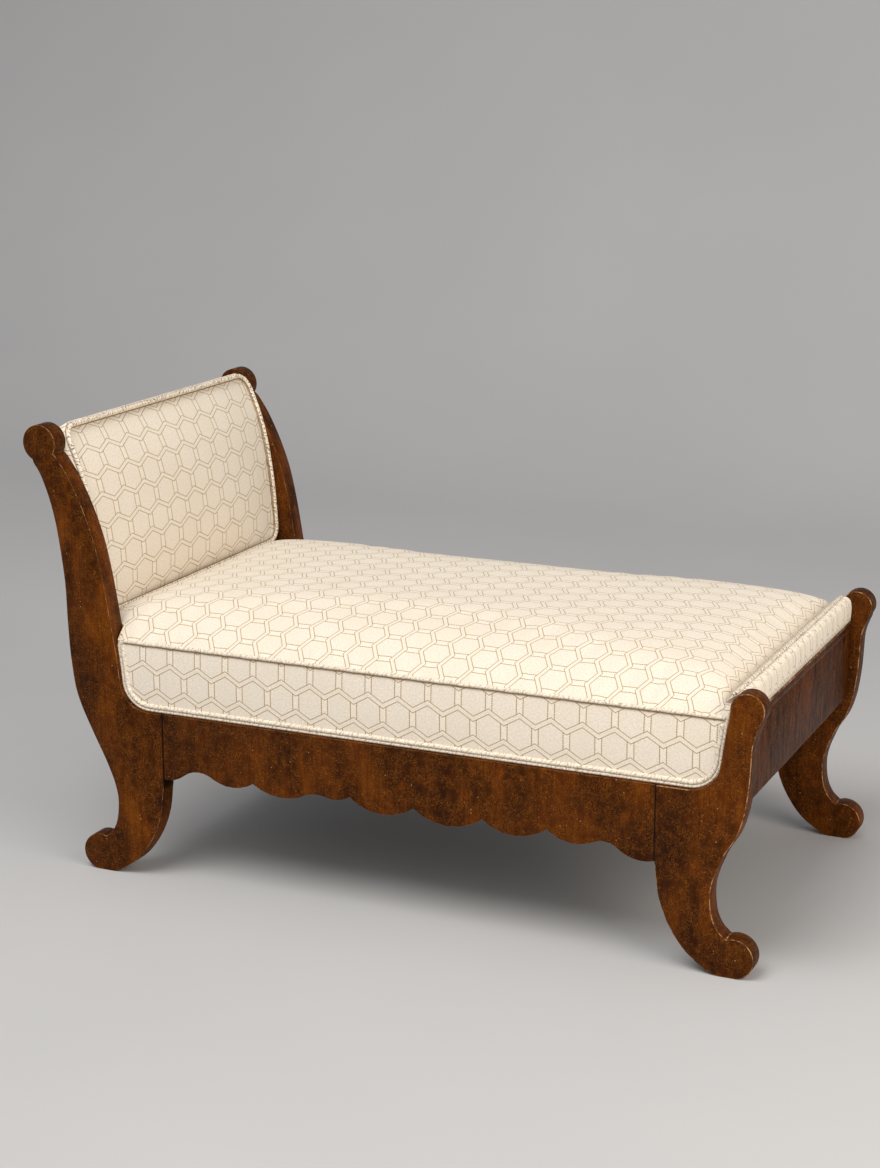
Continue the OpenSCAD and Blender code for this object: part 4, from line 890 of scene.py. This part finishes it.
rows, columns = 61, 101
z = panel_mid + crowded(rows, 0.96)[:, None] * panel_half
y = crowded(columns, 0.9)[None, :] * outline_half(z)
z = np.broadcast_to(z, y.shape)
inside = np.minimum(tongue_y - np.abs(y), panel_half - np.abs(z - panel_mid))
inside = np.minimum(inside, outline_half(z) - np.abs(y))
pull_depth, pull_reach, ripple_depth, ripple_reach = 0.0035, 0.006, 0.0006, 0.02
pull = pull_depth * np.exp(-inside / pull_reach)
ripple = ripple_depth * uneven(z, 230, 1.5, y, 60) * np.exp(-inside / ripple_reach)
face_x = x_on(panel_line, z) + panel_crown(y, z) - pull + ripple
front = np.stack([face_x, y, z], -1)
low = squared(z, panel_depth)
back = np.stack([x_on(panel_line, low) - panel_depth + 0.0015, y, low], -1)
points, quads = slab(front, back, every_cell(front))
free = np.zeros((2, rows, columns), bool)
free[0, 2:-2, 2:-2] = True
points = stuffed("panel_swelling", points, quads, free.ravel())
rising = arc_lengths(front, 0)
rising -= rising[rows // 2]
panel_bar, panel_ease = (-0.1531, -0.0326), (0.84, 1.065)
panel_map = laid_out(y, rising, panel_bar, panel_ease)
panel = make_piece("head_panel_cushion", points, [quads], cotton,
                   [on_both(panel_map, quads)])
settle(panel, "cover_cloth", "panel_cover", "panel_pad")

# %% [markdown]
# ## Piping of the panel
# A cord runs round the face of the panel and another round its outside back.
# Each could be a curve with a bevel, but then its flecks would stretch where
# the points lie far apart. So one function lists the rounded outline at equal
# steps, and both cords take their distance along the seat from the sweep.

# %% Piping round the panel
piping_radius, panel_stitch = 0.0045, 0.0009
ring_step = 1.99 / 260     # of a girth of 1.99, so about 260 points go round


def panel_ring(inset):
    """Closed rounded rectangle, as Y-Z points at equal steps of its length."""
    radius = panel_corner - inset
    q = np.linspace(0, np.pi / 2, 12)
    arcs = [np.stack([sy * (tongue_y - panel_corner) + radius * np.cos(q + k * np.pi / 2),
                      panel_mid + sz * (panel_half - panel_corner)
                      + radius * np.sin(q + k * np.pi / 2)], 1)
            for k, (sy, sz) in enumerate(((1, 1), (-1, 1), (-1, -1), (1, -1)))]
    ring = np.vstack(arcs + [arcs[0][:1]])
    return evenly(ring, ring_step)[:-1]


ring = panel_ring(piping_radius)
for name, node, out, crowning in (
        ("panel_piping_cord", "panel_piping", 0.0030, 1),
        ("outside_back_piping_cord", "outside_back_piping", -0.0417, 0)):
    level = squared(ring[:, 1], max(-out, 0))
    path = np.column_stack([x_on(panel_line, level) + out
                            + crowning * panel_crown(*ring.T), ring[:, 0], level])
    cord = make_cords(name, [path], piping_radius, (1, 0, 0), flecked_cord, closed=True)
    settle(cord, "cover_cloth", node)
ring = panel_ring(0.0094)
path = np.column_stack([x_on(panel_line, ring[:, 1]) + 0.0022 + panel_crown(*ring.T), ring])
stitches = make_cords("panel_stitching", [path], panel_stitch, (1, 0, 0), thread,
                      closed=True, sides=6)
settle(stitches, "cover_cloth")

# %% [markdown]
# ## The outside of the back
# Behind the panel a plain width of the same cloth is stretched down to the
# head board and closed by a second cord.

# %% Outside back
rows, columns = 40, 60
back_bottom, back_sag, back_thick = 0.4343, 0.0015, 0.0014
z = np.linspace(back_bottom, panel_top, rows)[:, None]
half = np.where(z > panel_mid, outline_half(z), tongue_y)
y = np.linspace(-1, 1, columns)[None, :] * half
z = np.broadcast_to(squared(z, panel_depth), y.shape)
sag = back_sag * np.sin(np.pi * (y / tongue_y + 1) / 2) * np.sin(
    np.pi * (z - z.min()) / (z.max() - z.min()))
outer = np.stack([x_on(panel_line, z) - panel_depth + sag, y, z], -1)
points, quads = slab(outer, outer + (back_thick, 0, 0), every_cell(outer))
own = np.stack([y, arc_lengths(outer, 0)], -1)
back_cloth = make_piece("outside_back_cloth", points, [quads], cotton,
                        [on_both(own, quads)])
settle(back_cloth, "cover_cloth", "outside_back_cover")

# %% [markdown]
# ## The foot roll
# The top of the foot board is padded and covered, low enough to rest an ankle
# on. Its cover is pulled over from the seat side and gathered a little, and
# two cords side by side finish it below the ridge.

# %% Foot roll
roll_in, board_in, roll_out = 0.619, 0.6347, 0.657
roll_foot, cap_top = 0.3193, 0.4366
roll_shares = [(0, 0), (.02, .3), (.13, .5), (.38, .78), (.62, .98), (.8, .96),
               (.94, .74), (.99, .4), (1, 0)]
roll_top = smooth_curve(scaled(roll_shares, (roll_in, 0.455),
                               (roll_out - roll_in, 0.026)), 5)
profile = np.vstack([[(roll_in, roll_foot), (roll_in, 0.37), (roll_in, 0.42)], roll_top,
                     [(roll_out, 0.4463), (roll_out, cap_top), (board_in, cap_top),
                      (board_in, 0.40), (board_in, roll_foot)]])
ys = np.linspace(-tongue_y, tongue_y, 320)
gather_start, gather_rise = 0.437, 0.02    # the height where gathers begin and grow
fullness, gather_depth, crease_depth = 0.0004, 0.0005, 0.0003
height = np.clip((profile[:, 1] - gather_start) / gather_rise, 0, 1)
gathers = gather_depth * uneven(ys, 430, 2.2, ys, 47) + crease_depth * np.sin(ys * 830)
normal = np.gradient(profile, axis=0)
normal = np.stack([-normal[:, 1], normal[:, 0]], 1)
normal /= np.linalg.norm(normal, axis=1, keepdims=True)
swell = (gathers[:, None] + fullness) * height[None]
rings = np.stack(np.broadcast_arrays(profile[:, 0] + normal[:, 0] * swell, ys[:, None],
                                     profile[:, 1] + normal[:, 1] * swell), -1)
quads, corners = grid_quads(len(ys), len(profile), False, True)
caps = np.array([np.arange(len(profile))[::-1],
                 np.arange(len(profile)) + (len(ys) - 1) * len(profile)])
run = np.r_[0, np.cumsum(np.linalg.norm(np.diff(profile, axis=0), axis=1)), 0]
gathered = 1.5 * ys + 0.003 * np.sin(ys * 61)
table = np.stack(np.broadcast_arrays(gathered[:, None], run[None]), -1).reshape(-1, 2)
roll = make_piece("foot_roll_cushion", rings, [quads, caps], cotton,
                  [table[corners], np.zeros(caps.shape + (2,))])
settle(roll, "cover_cloth", "foot_roll_cover", "foot_roll_pad")

# %% Double welt of the foot roll
slope = shifted(roll_top, welt_radius)
welt_share = 0.42          # of the way over the roll
place = int(round(welt_share * (len(slope) - 1)))
along = slope[place + 1] - slope[place - 1]
along /= np.linalg.norm(along)
welt_half = tongue_y - 0.004
lines = []
for way in (-1, 1):
    at = slope[place] + way * (welt_radius + 0.0001) * along
    lines.append(np.column_stack([np.full(200, at[0]),
                                  np.linspace(-welt_half, welt_half, 200),
                                  np.full(200, at[1])]))
roll_welt = make_cords("foot_roll_welt_cords", lines, welt_radius, (0, 0, 1),
                       flecked_cord)
settle(roll_welt, "cover_cloth", "foot_roll_welt")

# %% [markdown]
# ## What holds the seat up
# Under the pad lies work that nobody sees: webbing woven across the rails,
# hourglass springs stood on it and lashed down with twine, burlap over the
# springs, and curled hair on the burlap. Jute is tan, dry and open in its
# weave, cambric a dull black, and hair pale and tufted. Two materials do for
# all of it: a plain weave, and a mottle that is drawn out along any grain.

# %% Jute, cambric, hair, steel and bare wood
def woven(name, light, dark, thread_size):
    """Coarse plain weave, dull and dry, on the map named cloth: sin(x) times
    sin(y), so that threads go over and under each other, with slubs."""
    cloth, shader = new_material(name, Roughness=0.9, IOR=1.45)
    place = add(cloth, "UVMap", uv_map="cloth")
    waves = add(cloth, "VectorMath", (place, (2 * np.pi / thread_size,) * 3),
                operation="MULTIPLY")
    waves = add(cloth, "VectorMath", (waves,), operation="SINE")
    ways = add(cloth, "SeparateXYZ", (waves,)).outputs
    over = add(cloth, "Math", (ways["X"], ways["Y"]), operation="MULTIPLY")
    share = add(cloth, "MapRange", (over, -0.6, 0.6), **smooth)
    body = add(cloth, "Mix", (share, dark, light), **blend)
    slubs = add(cloth, "TexNoise", (place, 0.35 / thread_size, 3.0, 0.55))
    slubs = add(cloth, "MapRange", (slubs, 0.35, 0.7, 0.0, 0.5), **smooth)
    body = add(cloth, "Mix", (slubs, body, dark), **blend)
    feed(cloth, shader, body, None, over, 0.2 * thread_size)
    return cloth


def mottled(name, light, dark, size, roughness=0.8, stretch=(1, 1, 1), **values):
    """Two tones of one material, mixed by a noise of a real size: tufts of
    hair, lay of twine, grain of wood or the bloom on steel."""
    stuff, shader = new_material(name, **values)
    place = add(stuff, "Mapping", {"Vector": add(stuff, "TexCoord").outputs["Object"],
                                   "Scale": stretch})
    tone = add(stuff, "TexNoise", (place, 1 / size, 4.0, 0.6))
    share = add(stuff, "MapRange", (tone, 0.3, 0.7), **smooth)
    body = add(stuff, "Mix", (share, dark, light), **blend)
    dullness = add(stuff, "MapRange", (tone, 0, 1, roughness, roughness - 0.15), **smooth)
    feed(stuff, shader, body, dullness, tone, 0.1 * size)
    return stuff


jute_web = woven("jute_webbing", "#b89a6a", "#8a6c40", 0.0030)
jute_burlap = woven("jute_burlap", "#b59565", "#80643b", 0.0022)
cambric = woven("black_cambric", "#24242a", "#131316", 0.0010)
hair = mottled("curled_hair", "#cdc3b0", "#8f8470", 0.004)
twine = mottled("flax_twine", "#c2a878", "#8c7348", 0.0012)
spring_steel = mottled("coppered_spring_steel", "#8a8d90", "#5d5c5a", 0.02, 0.45,
                       Metallic=1.0)
fixing_steel = mottled("blued_steel", "#85868a", "#55565a", 0.004, 0.45, Metallic=1.0)
frame_ash = mottled("sawn_ash", "#c8a678", "#a27d4e", 0.006, 0.75, (0.06, 1, 1))
# The rails show below the boards, so they are stained to match the show wood
stained_ash = mottled("stained_ash", "#4a2810", "#2c1607", 0.006, 0.6, (0.3, 0.06, 1))
dowel_beech = mottled("turned_beech", "#cdab80", "#b08a5c", 0.004, 0.7, (1, 0.1, 1))
print("materials:", len(bpy.data.materials))


# %% Thin shells
def bands(name, grids, thickness, material):
    """Closed bands as one piece: each grid, and the same grid moved against its
    normals, which are the cross products of its two ways."""
    points, quads, places, start = [], [], [], 0
    for grid in grids:
        normal = np.cross(np.gradient(grid, axis=0), np.gradient(grid, axis=1))
        normal /= np.linalg.norm(normal, axis=2, keepdims=True)
        p, q = slab(grid, grid - thickness * normal, every_cell(grid))
        own = np.stack([arc_lengths(grid, 1), arc_lengths(grid, 0)], -1)
        points.append(p)
        quads.append(q + start)
        places.append(on_both(own, q))
        start += len(p)
    return make_piece(name, np.vstack(points), quads, material, places)


# %% [markdown]
# ## Webbing
# Jute bands run both ways under the seat, over and under each other as in a
# basket. Flat strips would cut through one another. So each band's height is
# a line with a dip under every second band that it meets, and one helper
# gives any such grid a thickness along its own normals.

# %% Webbing under the seat
web_half, web_thick = 0.030, 0.0016
web_ramp, nail_margin = 0.003, 0.021     # where a band bends, past another and at a rail
web_head_x, web_foot_x, web_side_y = -0.5463, 0.6307, 0.339     # ends of the bands
row_y = 0.212                            # outer springs and the bands under them
lengthwise = np.linspace(-row_y, row_y, 5)
crosswise = np.linspace(-0.4307, 0.5151, 11)


def webbing(name, node, run, middles, crossings, first_under, turned):
    """Bands along X, or along Y where turned. Each is level with the rails, and
    lower by its own thickness where it dips under a band that it meets."""
    grids = []
    share = np.linspace(-1, 1, 9)
    knots = np.repeat(crossings, 2) + np.tile([-1, 1], len(crossings)) * (
        web_half + web_ramp)
    knots = np.r_[run[0] + nail_margin, knots, run[-1] - nail_margin]
    for count, middle in enumerate(middles):
        under = (np.arange(len(crossings)) + count + first_under) % 2
        levels = rail_bottom - web_thick * np.repeat(under, 2)
        level = np.interp(run, knots, np.r_[rail_bottom, levels, rail_bottom]) - 0.0002
        ways = (run[:, None], middle + web_half * share)
        if turned:
            ways = (middle - web_half * share, run[:, None])
        grids.append(np.stack(np.broadcast_arrays(*ways, level[:, None]), -1))
    settle(bands(name, grids, web_thick, jute_web), "jute", node)


webbing("webbing_lengthwise_bands", "webbing_lengthwise",
        np.linspace(web_head_x, web_foot_x, 236), lengthwise, crosswise, 0, False)
webbing("webbing_crosswise_bands", "webbing_crosswise",
        np.linspace(-web_side_y, web_side_y, 137), crosswise, lengthwise, 1, True)

# %% [markdown]
# ## Springs and lashing
# Eighteen hourglass springs stand on the webbing, tied down by twine that
# runs from rail to rail both ways. A coil could be a screw modifier on a
# short line, but a helix worked out as one array takes the true flare of the
# wire, narrow at the waist and wide at both ends, and a cord does the rest.

# %% Springs and lashing
spring_head_x, spring_foot_x = -0.5253, 0.6097
wire_radius, twine_radius = 0.0017, 0.00125
waist, flare, turns, spring_rise = 0.0283, 0.012, 4, 0.1616
columns_at = spring_head_x + (spring_foot_x - spring_head_x) / 6 * (np.arange(6) + 0.5)
rows_at = row_y * np.arange(-1, 2)
t = np.linspace(0, 1, 97)
radius = waist + flare * np.abs(2 * t - 1) ** 1.6
angle = 2 * turns * np.pi * t
coil = np.stack([radius * np.cos(angle), radius * np.sin(angle),
                 rail_bottom + wire_radius + spring_rise * t], 1)
coils = make_cords("seat_spring_coils", [coil + (cx, cy, 0) for cx in columns_at
                                         for cy in rows_at],
                   wire_radius, (0, 0, 1), spring_steel, sides=8)
settle(coils, "spring_steel", "seat_springs")


# The crosswise twine lies on the lengthwise, and both are tied to the rails
lengthwise_level, crosswise_level, tied_level = 0.4243, 0.4268, rail_top + 0.0013


def lashed(reach, rise_in, level):
    """A line of twine from rail to rail over the springs, in its own plane."""
    line = [(-reach, tied_level), (rise_in - reach, level), (reach - rise_in, level),
            (reach, tied_level)]
    return evenly(line, 0.012)


middle_x = (spring_head_x + spring_foot_x) / 2
line = lashed(spring_foot_x + 0.005 - middle_x, 0.0473, lengthwise_level)
paths = [np.stack([line[:, 0] + middle_x, np.full(len(line), cy), line[:, 1]], 1)
         for cy in rows_at]
settle(make_cords("lashing_lengthwise_twine", paths, twine_radius, (0, 1, 0), twine,
                  sides=8), "jute", "lashing_lengthwise")
line = lashed(0.3205, 0.057, crosswise_level)
paths = [np.stack([np.full(len(line), cx), line[:, 0], line[:, 1]], 1)
         for cx in columns_at]
settle(make_cords("lashing_crosswise_twine", paths, twine_radius, (1, 0, 0), twine,
                  sides=8), "jute", "lashing_crosswise")

# %% [markdown]
# ## Burlap over the springs
# A sheet of burlap is drawn over the lashed springs and tacked to the rails,
# so it lies flat on top and falls steeply all round. Its height anywhere is
# the least of the flat top and the slopes, and the stuffing above it asks the
# same function for its underside.

# %% Burlap over the springs
tent_head, tent_foot, tent_top = spring_head_x - 0.0092, spring_foot_x + 0.0092, 0.4295
tent_half, slope_width = 0.3272, 0.060
end_steepness, end_width = 30, 0.0038
burlap_thick = 0.0012


def tent(x, y, grow=0.0):
    """Height of the burlap: flat over the lashing, steep at both ends, and
    sloping down to the long rails over the width of the slope."""
    slope = (tent_half + grow - np.abs(y)) * (tent_top - rail_top) / slope_width
    ends = end_steepness * np.minimum(x - tent_head + grow, tent_foot + grow - x)
    return np.clip(np.minimum(slope, ends), 0, tent_top + grow - rail_top) + rail_top


ends = np.linspace(0, end_width, 6)
x = np.concatenate([tent_head + ends, np.linspace(tent_head, tent_foot, 80)[2:-2],
                    tent_foot - ends[::-1]])[:, None]
flat_half = tent_half - slope_width
slopes = np.linspace(tent_half, flat_half, 14)
y = np.concatenate([-slopes, np.linspace(-flat_half, flat_half, 46)[1:-1],
                    slopes[::-1]])[None]
x, y = np.broadcast_arrays(x, y)
burlap = bands("spring_burlap_sheet", [np.stack([x, y, tent(x, y) + 0.0002], -1)],
               burlap_thick, jute_burlap)
settle(burlap, "jute", "spring_burlap")

# %% [markdown]
# ## Lower stuffing
# Curled hair fills the room between the burlap and the pad, and laps over the
# wood at both sides. It is one closed skin with low lumps, because loose hair
# would show only at its rim, and there the mottle of its finish is enough.

# %% Lower stuffing
stuffing_head_x = -0.5765
stuffing_xs = np.concatenate([steps_between(stuffing_head_x, flank_head_x, 0.010),
                              steps_between(flank_head_x, flank_foot_x, 0.014),
                              [flank_foot_x]])
stuffing_xs = np.sort(np.append(stuffing_xs, [seat_foot_x, tent_head, tent_foot]))
flank_ys = np.array([-0.3662, -0.356, -0.3426])
stuffing_ys = np.concatenate([flank_ys, np.linspace(-tent_half, tent_half, 60),
                              -flank_ys[::-1]])
x, y = np.meshgrid(stuffing_xs, stuffing_ys, indexing="ij")
lump_rise, head_lean, lean_reach = 0.0008, 0.021, 0.012
lump = lump_rise * uneven(x, 90, 1, y, 70) * np.sin(y * 110)
edges = np.maximum(np.interp(x, head_edge[::-1, 0], head_edge[::-1, 1]),
                   np.interp(x, foot_edge[:, 0], foot_edge[:, 1]))
low = np.where(np.abs(y) > tongue_y - 0.0002, edges, tent(x, y, 0.0003)) + 0.0004
lean_in = np.where(np.abs(y) < tongue_y, head_lean * np.exp((x[:1] - x) / lean_reach), 0)
points, quads = slab(np.stack([x, y, stuffing_top - 0.001 + lump], -1),
                     np.stack([x + lean_in, y, np.minimum(low, stuffing_top - 0.003)], -1),
                     covered(x, y))
hairs = make_piece("seat_stuffing_hair", points, [quads], hair)
settle(hairs, "stuffing", "seat_stuffing")


# %% [markdown]
# ## Inside the head panel
# The panel is webbed and covered with burlap as the seat is, but it has no
# springs. All its layers are grids that follow the face's own sweep, each at
# its own depth, so none can cut through another.

# %% Webbing and burlap of the head panel
def panel_grid(zs, ys, depth):
    """A grid of the panel at a depth behind its face line."""
    y, z = np.broadcast_arrays(ys, np.asarray(zs, float)[:, None])
    return np.stack([x_on(panel_line, z) - depth, y, z], -1)


panel_web_thick = 0.0013
across_depth, upright_depth, burlap_depth = 0.0161, 0.01465, 0.01315
panel_tack, panel_web_top, panel_burlap_top = panel_bottom + 0.004, 0.8091, 0.8131
panel_web_y = 0.3387
grids = [panel_grid(np.linspace(z - web_half, z + web_half, 9),
                    np.linspace(-panel_web_y, panel_web_y, 90)[None], across_depth)
         for z in panel_bottom + (panel_top - panel_bottom) * np.array([0.25, 0.5, 0.75])]
settle(bands("panel_webbing_across_bands", grids, panel_web_thick, jute_web), "jute",
       "panel_webbing_across")
low, high = (v.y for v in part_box("panel_webbing_upright"))
grids = [panel_grid(np.linspace(panel_tack, panel_web_top, 60),
                    np.linspace(y - web_half, y + web_half, 9)[None], upright_depth)
         for y in np.linspace(low + web_half, high - web_half, 5)]
settle(bands("panel_webbing_upright_bands", grids, panel_web_thick, jute_web), "jute",
       "panel_webbing_upright")
zs = np.linspace(panel_tack, panel_burlap_top, 50)
ys = np.linspace(-1, 1, 90)[None] * outline_half(zs, 0.004)[:, None]
burlap = bands("panel_burlap_sheet", [panel_grid(zs, ys, burlap_depth)],
               burlap_thick, jute_burlap)
settle(burlap, "jute", "panel_burlap")

# %% [markdown]
# ## Dust cover
# Black cambric closes the seat from below. It hangs two millimetres low in
# the middle, as a cloth does that is tacked at its edges, and puckers there.

# %% Dust cover
low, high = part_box("dust_cover")
dust_width, dust_sag, dust_pucker, dust_thick = 0.678, 0.002, 0.0006, 0.0007
x, y = np.meshgrid(np.linspace(low.x, high.x, 90), np.linspace(high.y, low.y, 60),
                   indexing="ij")
arch = np.cos(np.pi * y / dust_width)
sag = dust_sag * np.sin(np.pi * (x - low.x) / (high.x - low.x)) * arch
pucker = dust_pucker * np.sin(x * 130) * np.exp(-(high.y - np.abs(y)) / 0.02) * arch
dust = bands("dust_cover_sheet", [np.stack([x, y, low.z - sag + pucker], -1)],
             dust_thick, cambric)
settle(dust, "dust_cloth", "dust_cover")

# %% [markdown]
# ## Solids that stay as they are
# Rails, blocks, dowels, screws and tacks look as real in their plain solids
# as they would remade, so they only take a finish.

# %% Finishes of the solids that stay as they are
finishes = {
    stained_ash: ("seat_rail_front", "seat_rail_rear", "seat_rail_head",
                  "seat_rail_foot"),
    frame_ash: ("seat_stretcher", "corner_blocks", "panel_stile_front",
                "panel_stile_rear", "panel_top_rail", "panel_bottom_rail"),
    dowel_beech: ("panel_dowels",),
    fixing_steel: ("rail_screws", "block_screws", "webbing_tacks", "panel_screws")}
for material, nodes in finishes.items():
    for node in nodes:
        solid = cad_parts[node].data
        solid.materials.clear()
        solid.materials.append(material)
print("finished solids:", sum(len(nodes) for nodes in finishes.values()))

# %% [markdown]
# ## Camera, floor and light
# The camera stands where the photographer stood: a long lens, a little above
# the seat, turned a quarter from the front. The floor sweeps up into the
# backdrop, and the light is a broad soft lamp from the front left with an
# even sky, so that colours render much as they are written.

# %% Camera
camera = bpy.data.objects.new("camera", bpy.data.cameras.new("camera"))
bpy.context.scene.collection.objects.link(camera)
bpy.context.scene.camera = camera
sensor, focal_pixels, picture_height = 36.0, 2258.8, 1168
camera.data.sensor_fit = "AUTO"
camera.data.sensor_width = sensor
camera.data.lens = sensor * focal_pixels / picture_height
camera.location = (1.62624, -3.74581, 1.55382)
looking = Vector((-0.39422, 0.88563, -0.24547))
camera.rotation_euler = looking.to_track_quat("-Z", "Y").to_euler()

# %% Floor and backdrop
sweep_start, sweep_radius, backdrop_half = 2.8, 1.6, 27
q = np.linspace(0, np.pi / 2, 24)
sweep = np.vstack([[(-30, 0), (-9, 0), (-3, 0), (2.6, 0)],
                   np.stack([sweep_start + sweep_radius * np.sin(q),
                             sweep_radius * (1 - np.cos(q))], 1),
                   [(4.4, 4), (4.4, 12)]])
wide = np.linspace(-backdrop_half, backdrop_half, 19)
backdrop = np.stack(np.broadcast_arrays(wide[:, None], sweep[:, 0], sweep[:, 1]), -1)
# Grey background paper: matt, with a tone that changes over most of a metre
paper, shader = new_material("studio_paper", Roughness=0.9)
tone = add(paper, "TexNoise", (add(paper, "TexCoord").outputs["Object"], 1.4, 2.0))
feed(paper, shader, add(paper, "Mix", (tone, "#bcbcbe", "#c4c4c5"), **blend))
quads, _ = grid_quads(*backdrop.shape[:2])
floor = bpy.data.meshes.new("studio_sweep")
floor.from_pydata(backdrop.reshape(-1, 3).tolist(), [], quads.tolist())
floor.polygons.foreach_set("use_smooth", np.ones(len(floor.polygons), bool))
floor.materials.append(paper)
floor = bpy.data.objects.new("studio_sweep", floor)
bpy.context.scene.collection.objects.link(floor)


# %% Lamps and sky
def lamp(name, place, aim, size, watts, colour):
    """A square lamp at a place, facing a point."""
    light = bpy.data.lights.new(name, "AREA")
    light.size, light.energy, light.color = size, watts, linear(colour)[:3]
    holder = bpy.data.objects.new(name, light)
    holder.location = place
    holder.rotation_euler = (Vector(aim) - Vector(place)).to_track_quat(
        "-Z", "Y").to_euler()
    bpy.context.scene.collection.objects.link(holder)


lamp("key", (-0.8, -2.9, 5.1), (0, 0, 0.4), 3.3, 205, "#fffdf9")
lamp("fill", (3.2, -1.6, 2.0), (-0.3, 0, 0.5), 2.6, 85, "#fff4e6")
world = bpy.data.worlds.new("studio")
bpy.context.scene.world = world
world.use_nodes = True
sky = world.node_tree.nodes["Background"]
sky.inputs["Color"].default_value = linear("#ffffff")
# The sky lights the object at one strength, and where it is seen or mirrored it
# has the grey of the far floor, so that no edge shows behind the object
sky_light, sky_seen = 0.43, 0.235
ray = add(world, "LightPath").outputs
seen = add(world, "Math", (ray["Is Camera Ray"], ray["Is Glossy Ray"]), operation="ADD")
seen = add(world, "Math", (seen, ray["Is Transmission Ray"]), operation="ADD")
strength = add(world, "MapRange", (seen, 0, 1, sky_light, sky_seen), **smooth)
world.node_tree.links.new(strength.outputs[0], sky.inputs["Strength"])
bpy.context.scene.view_settings.view_transform = "Standard"
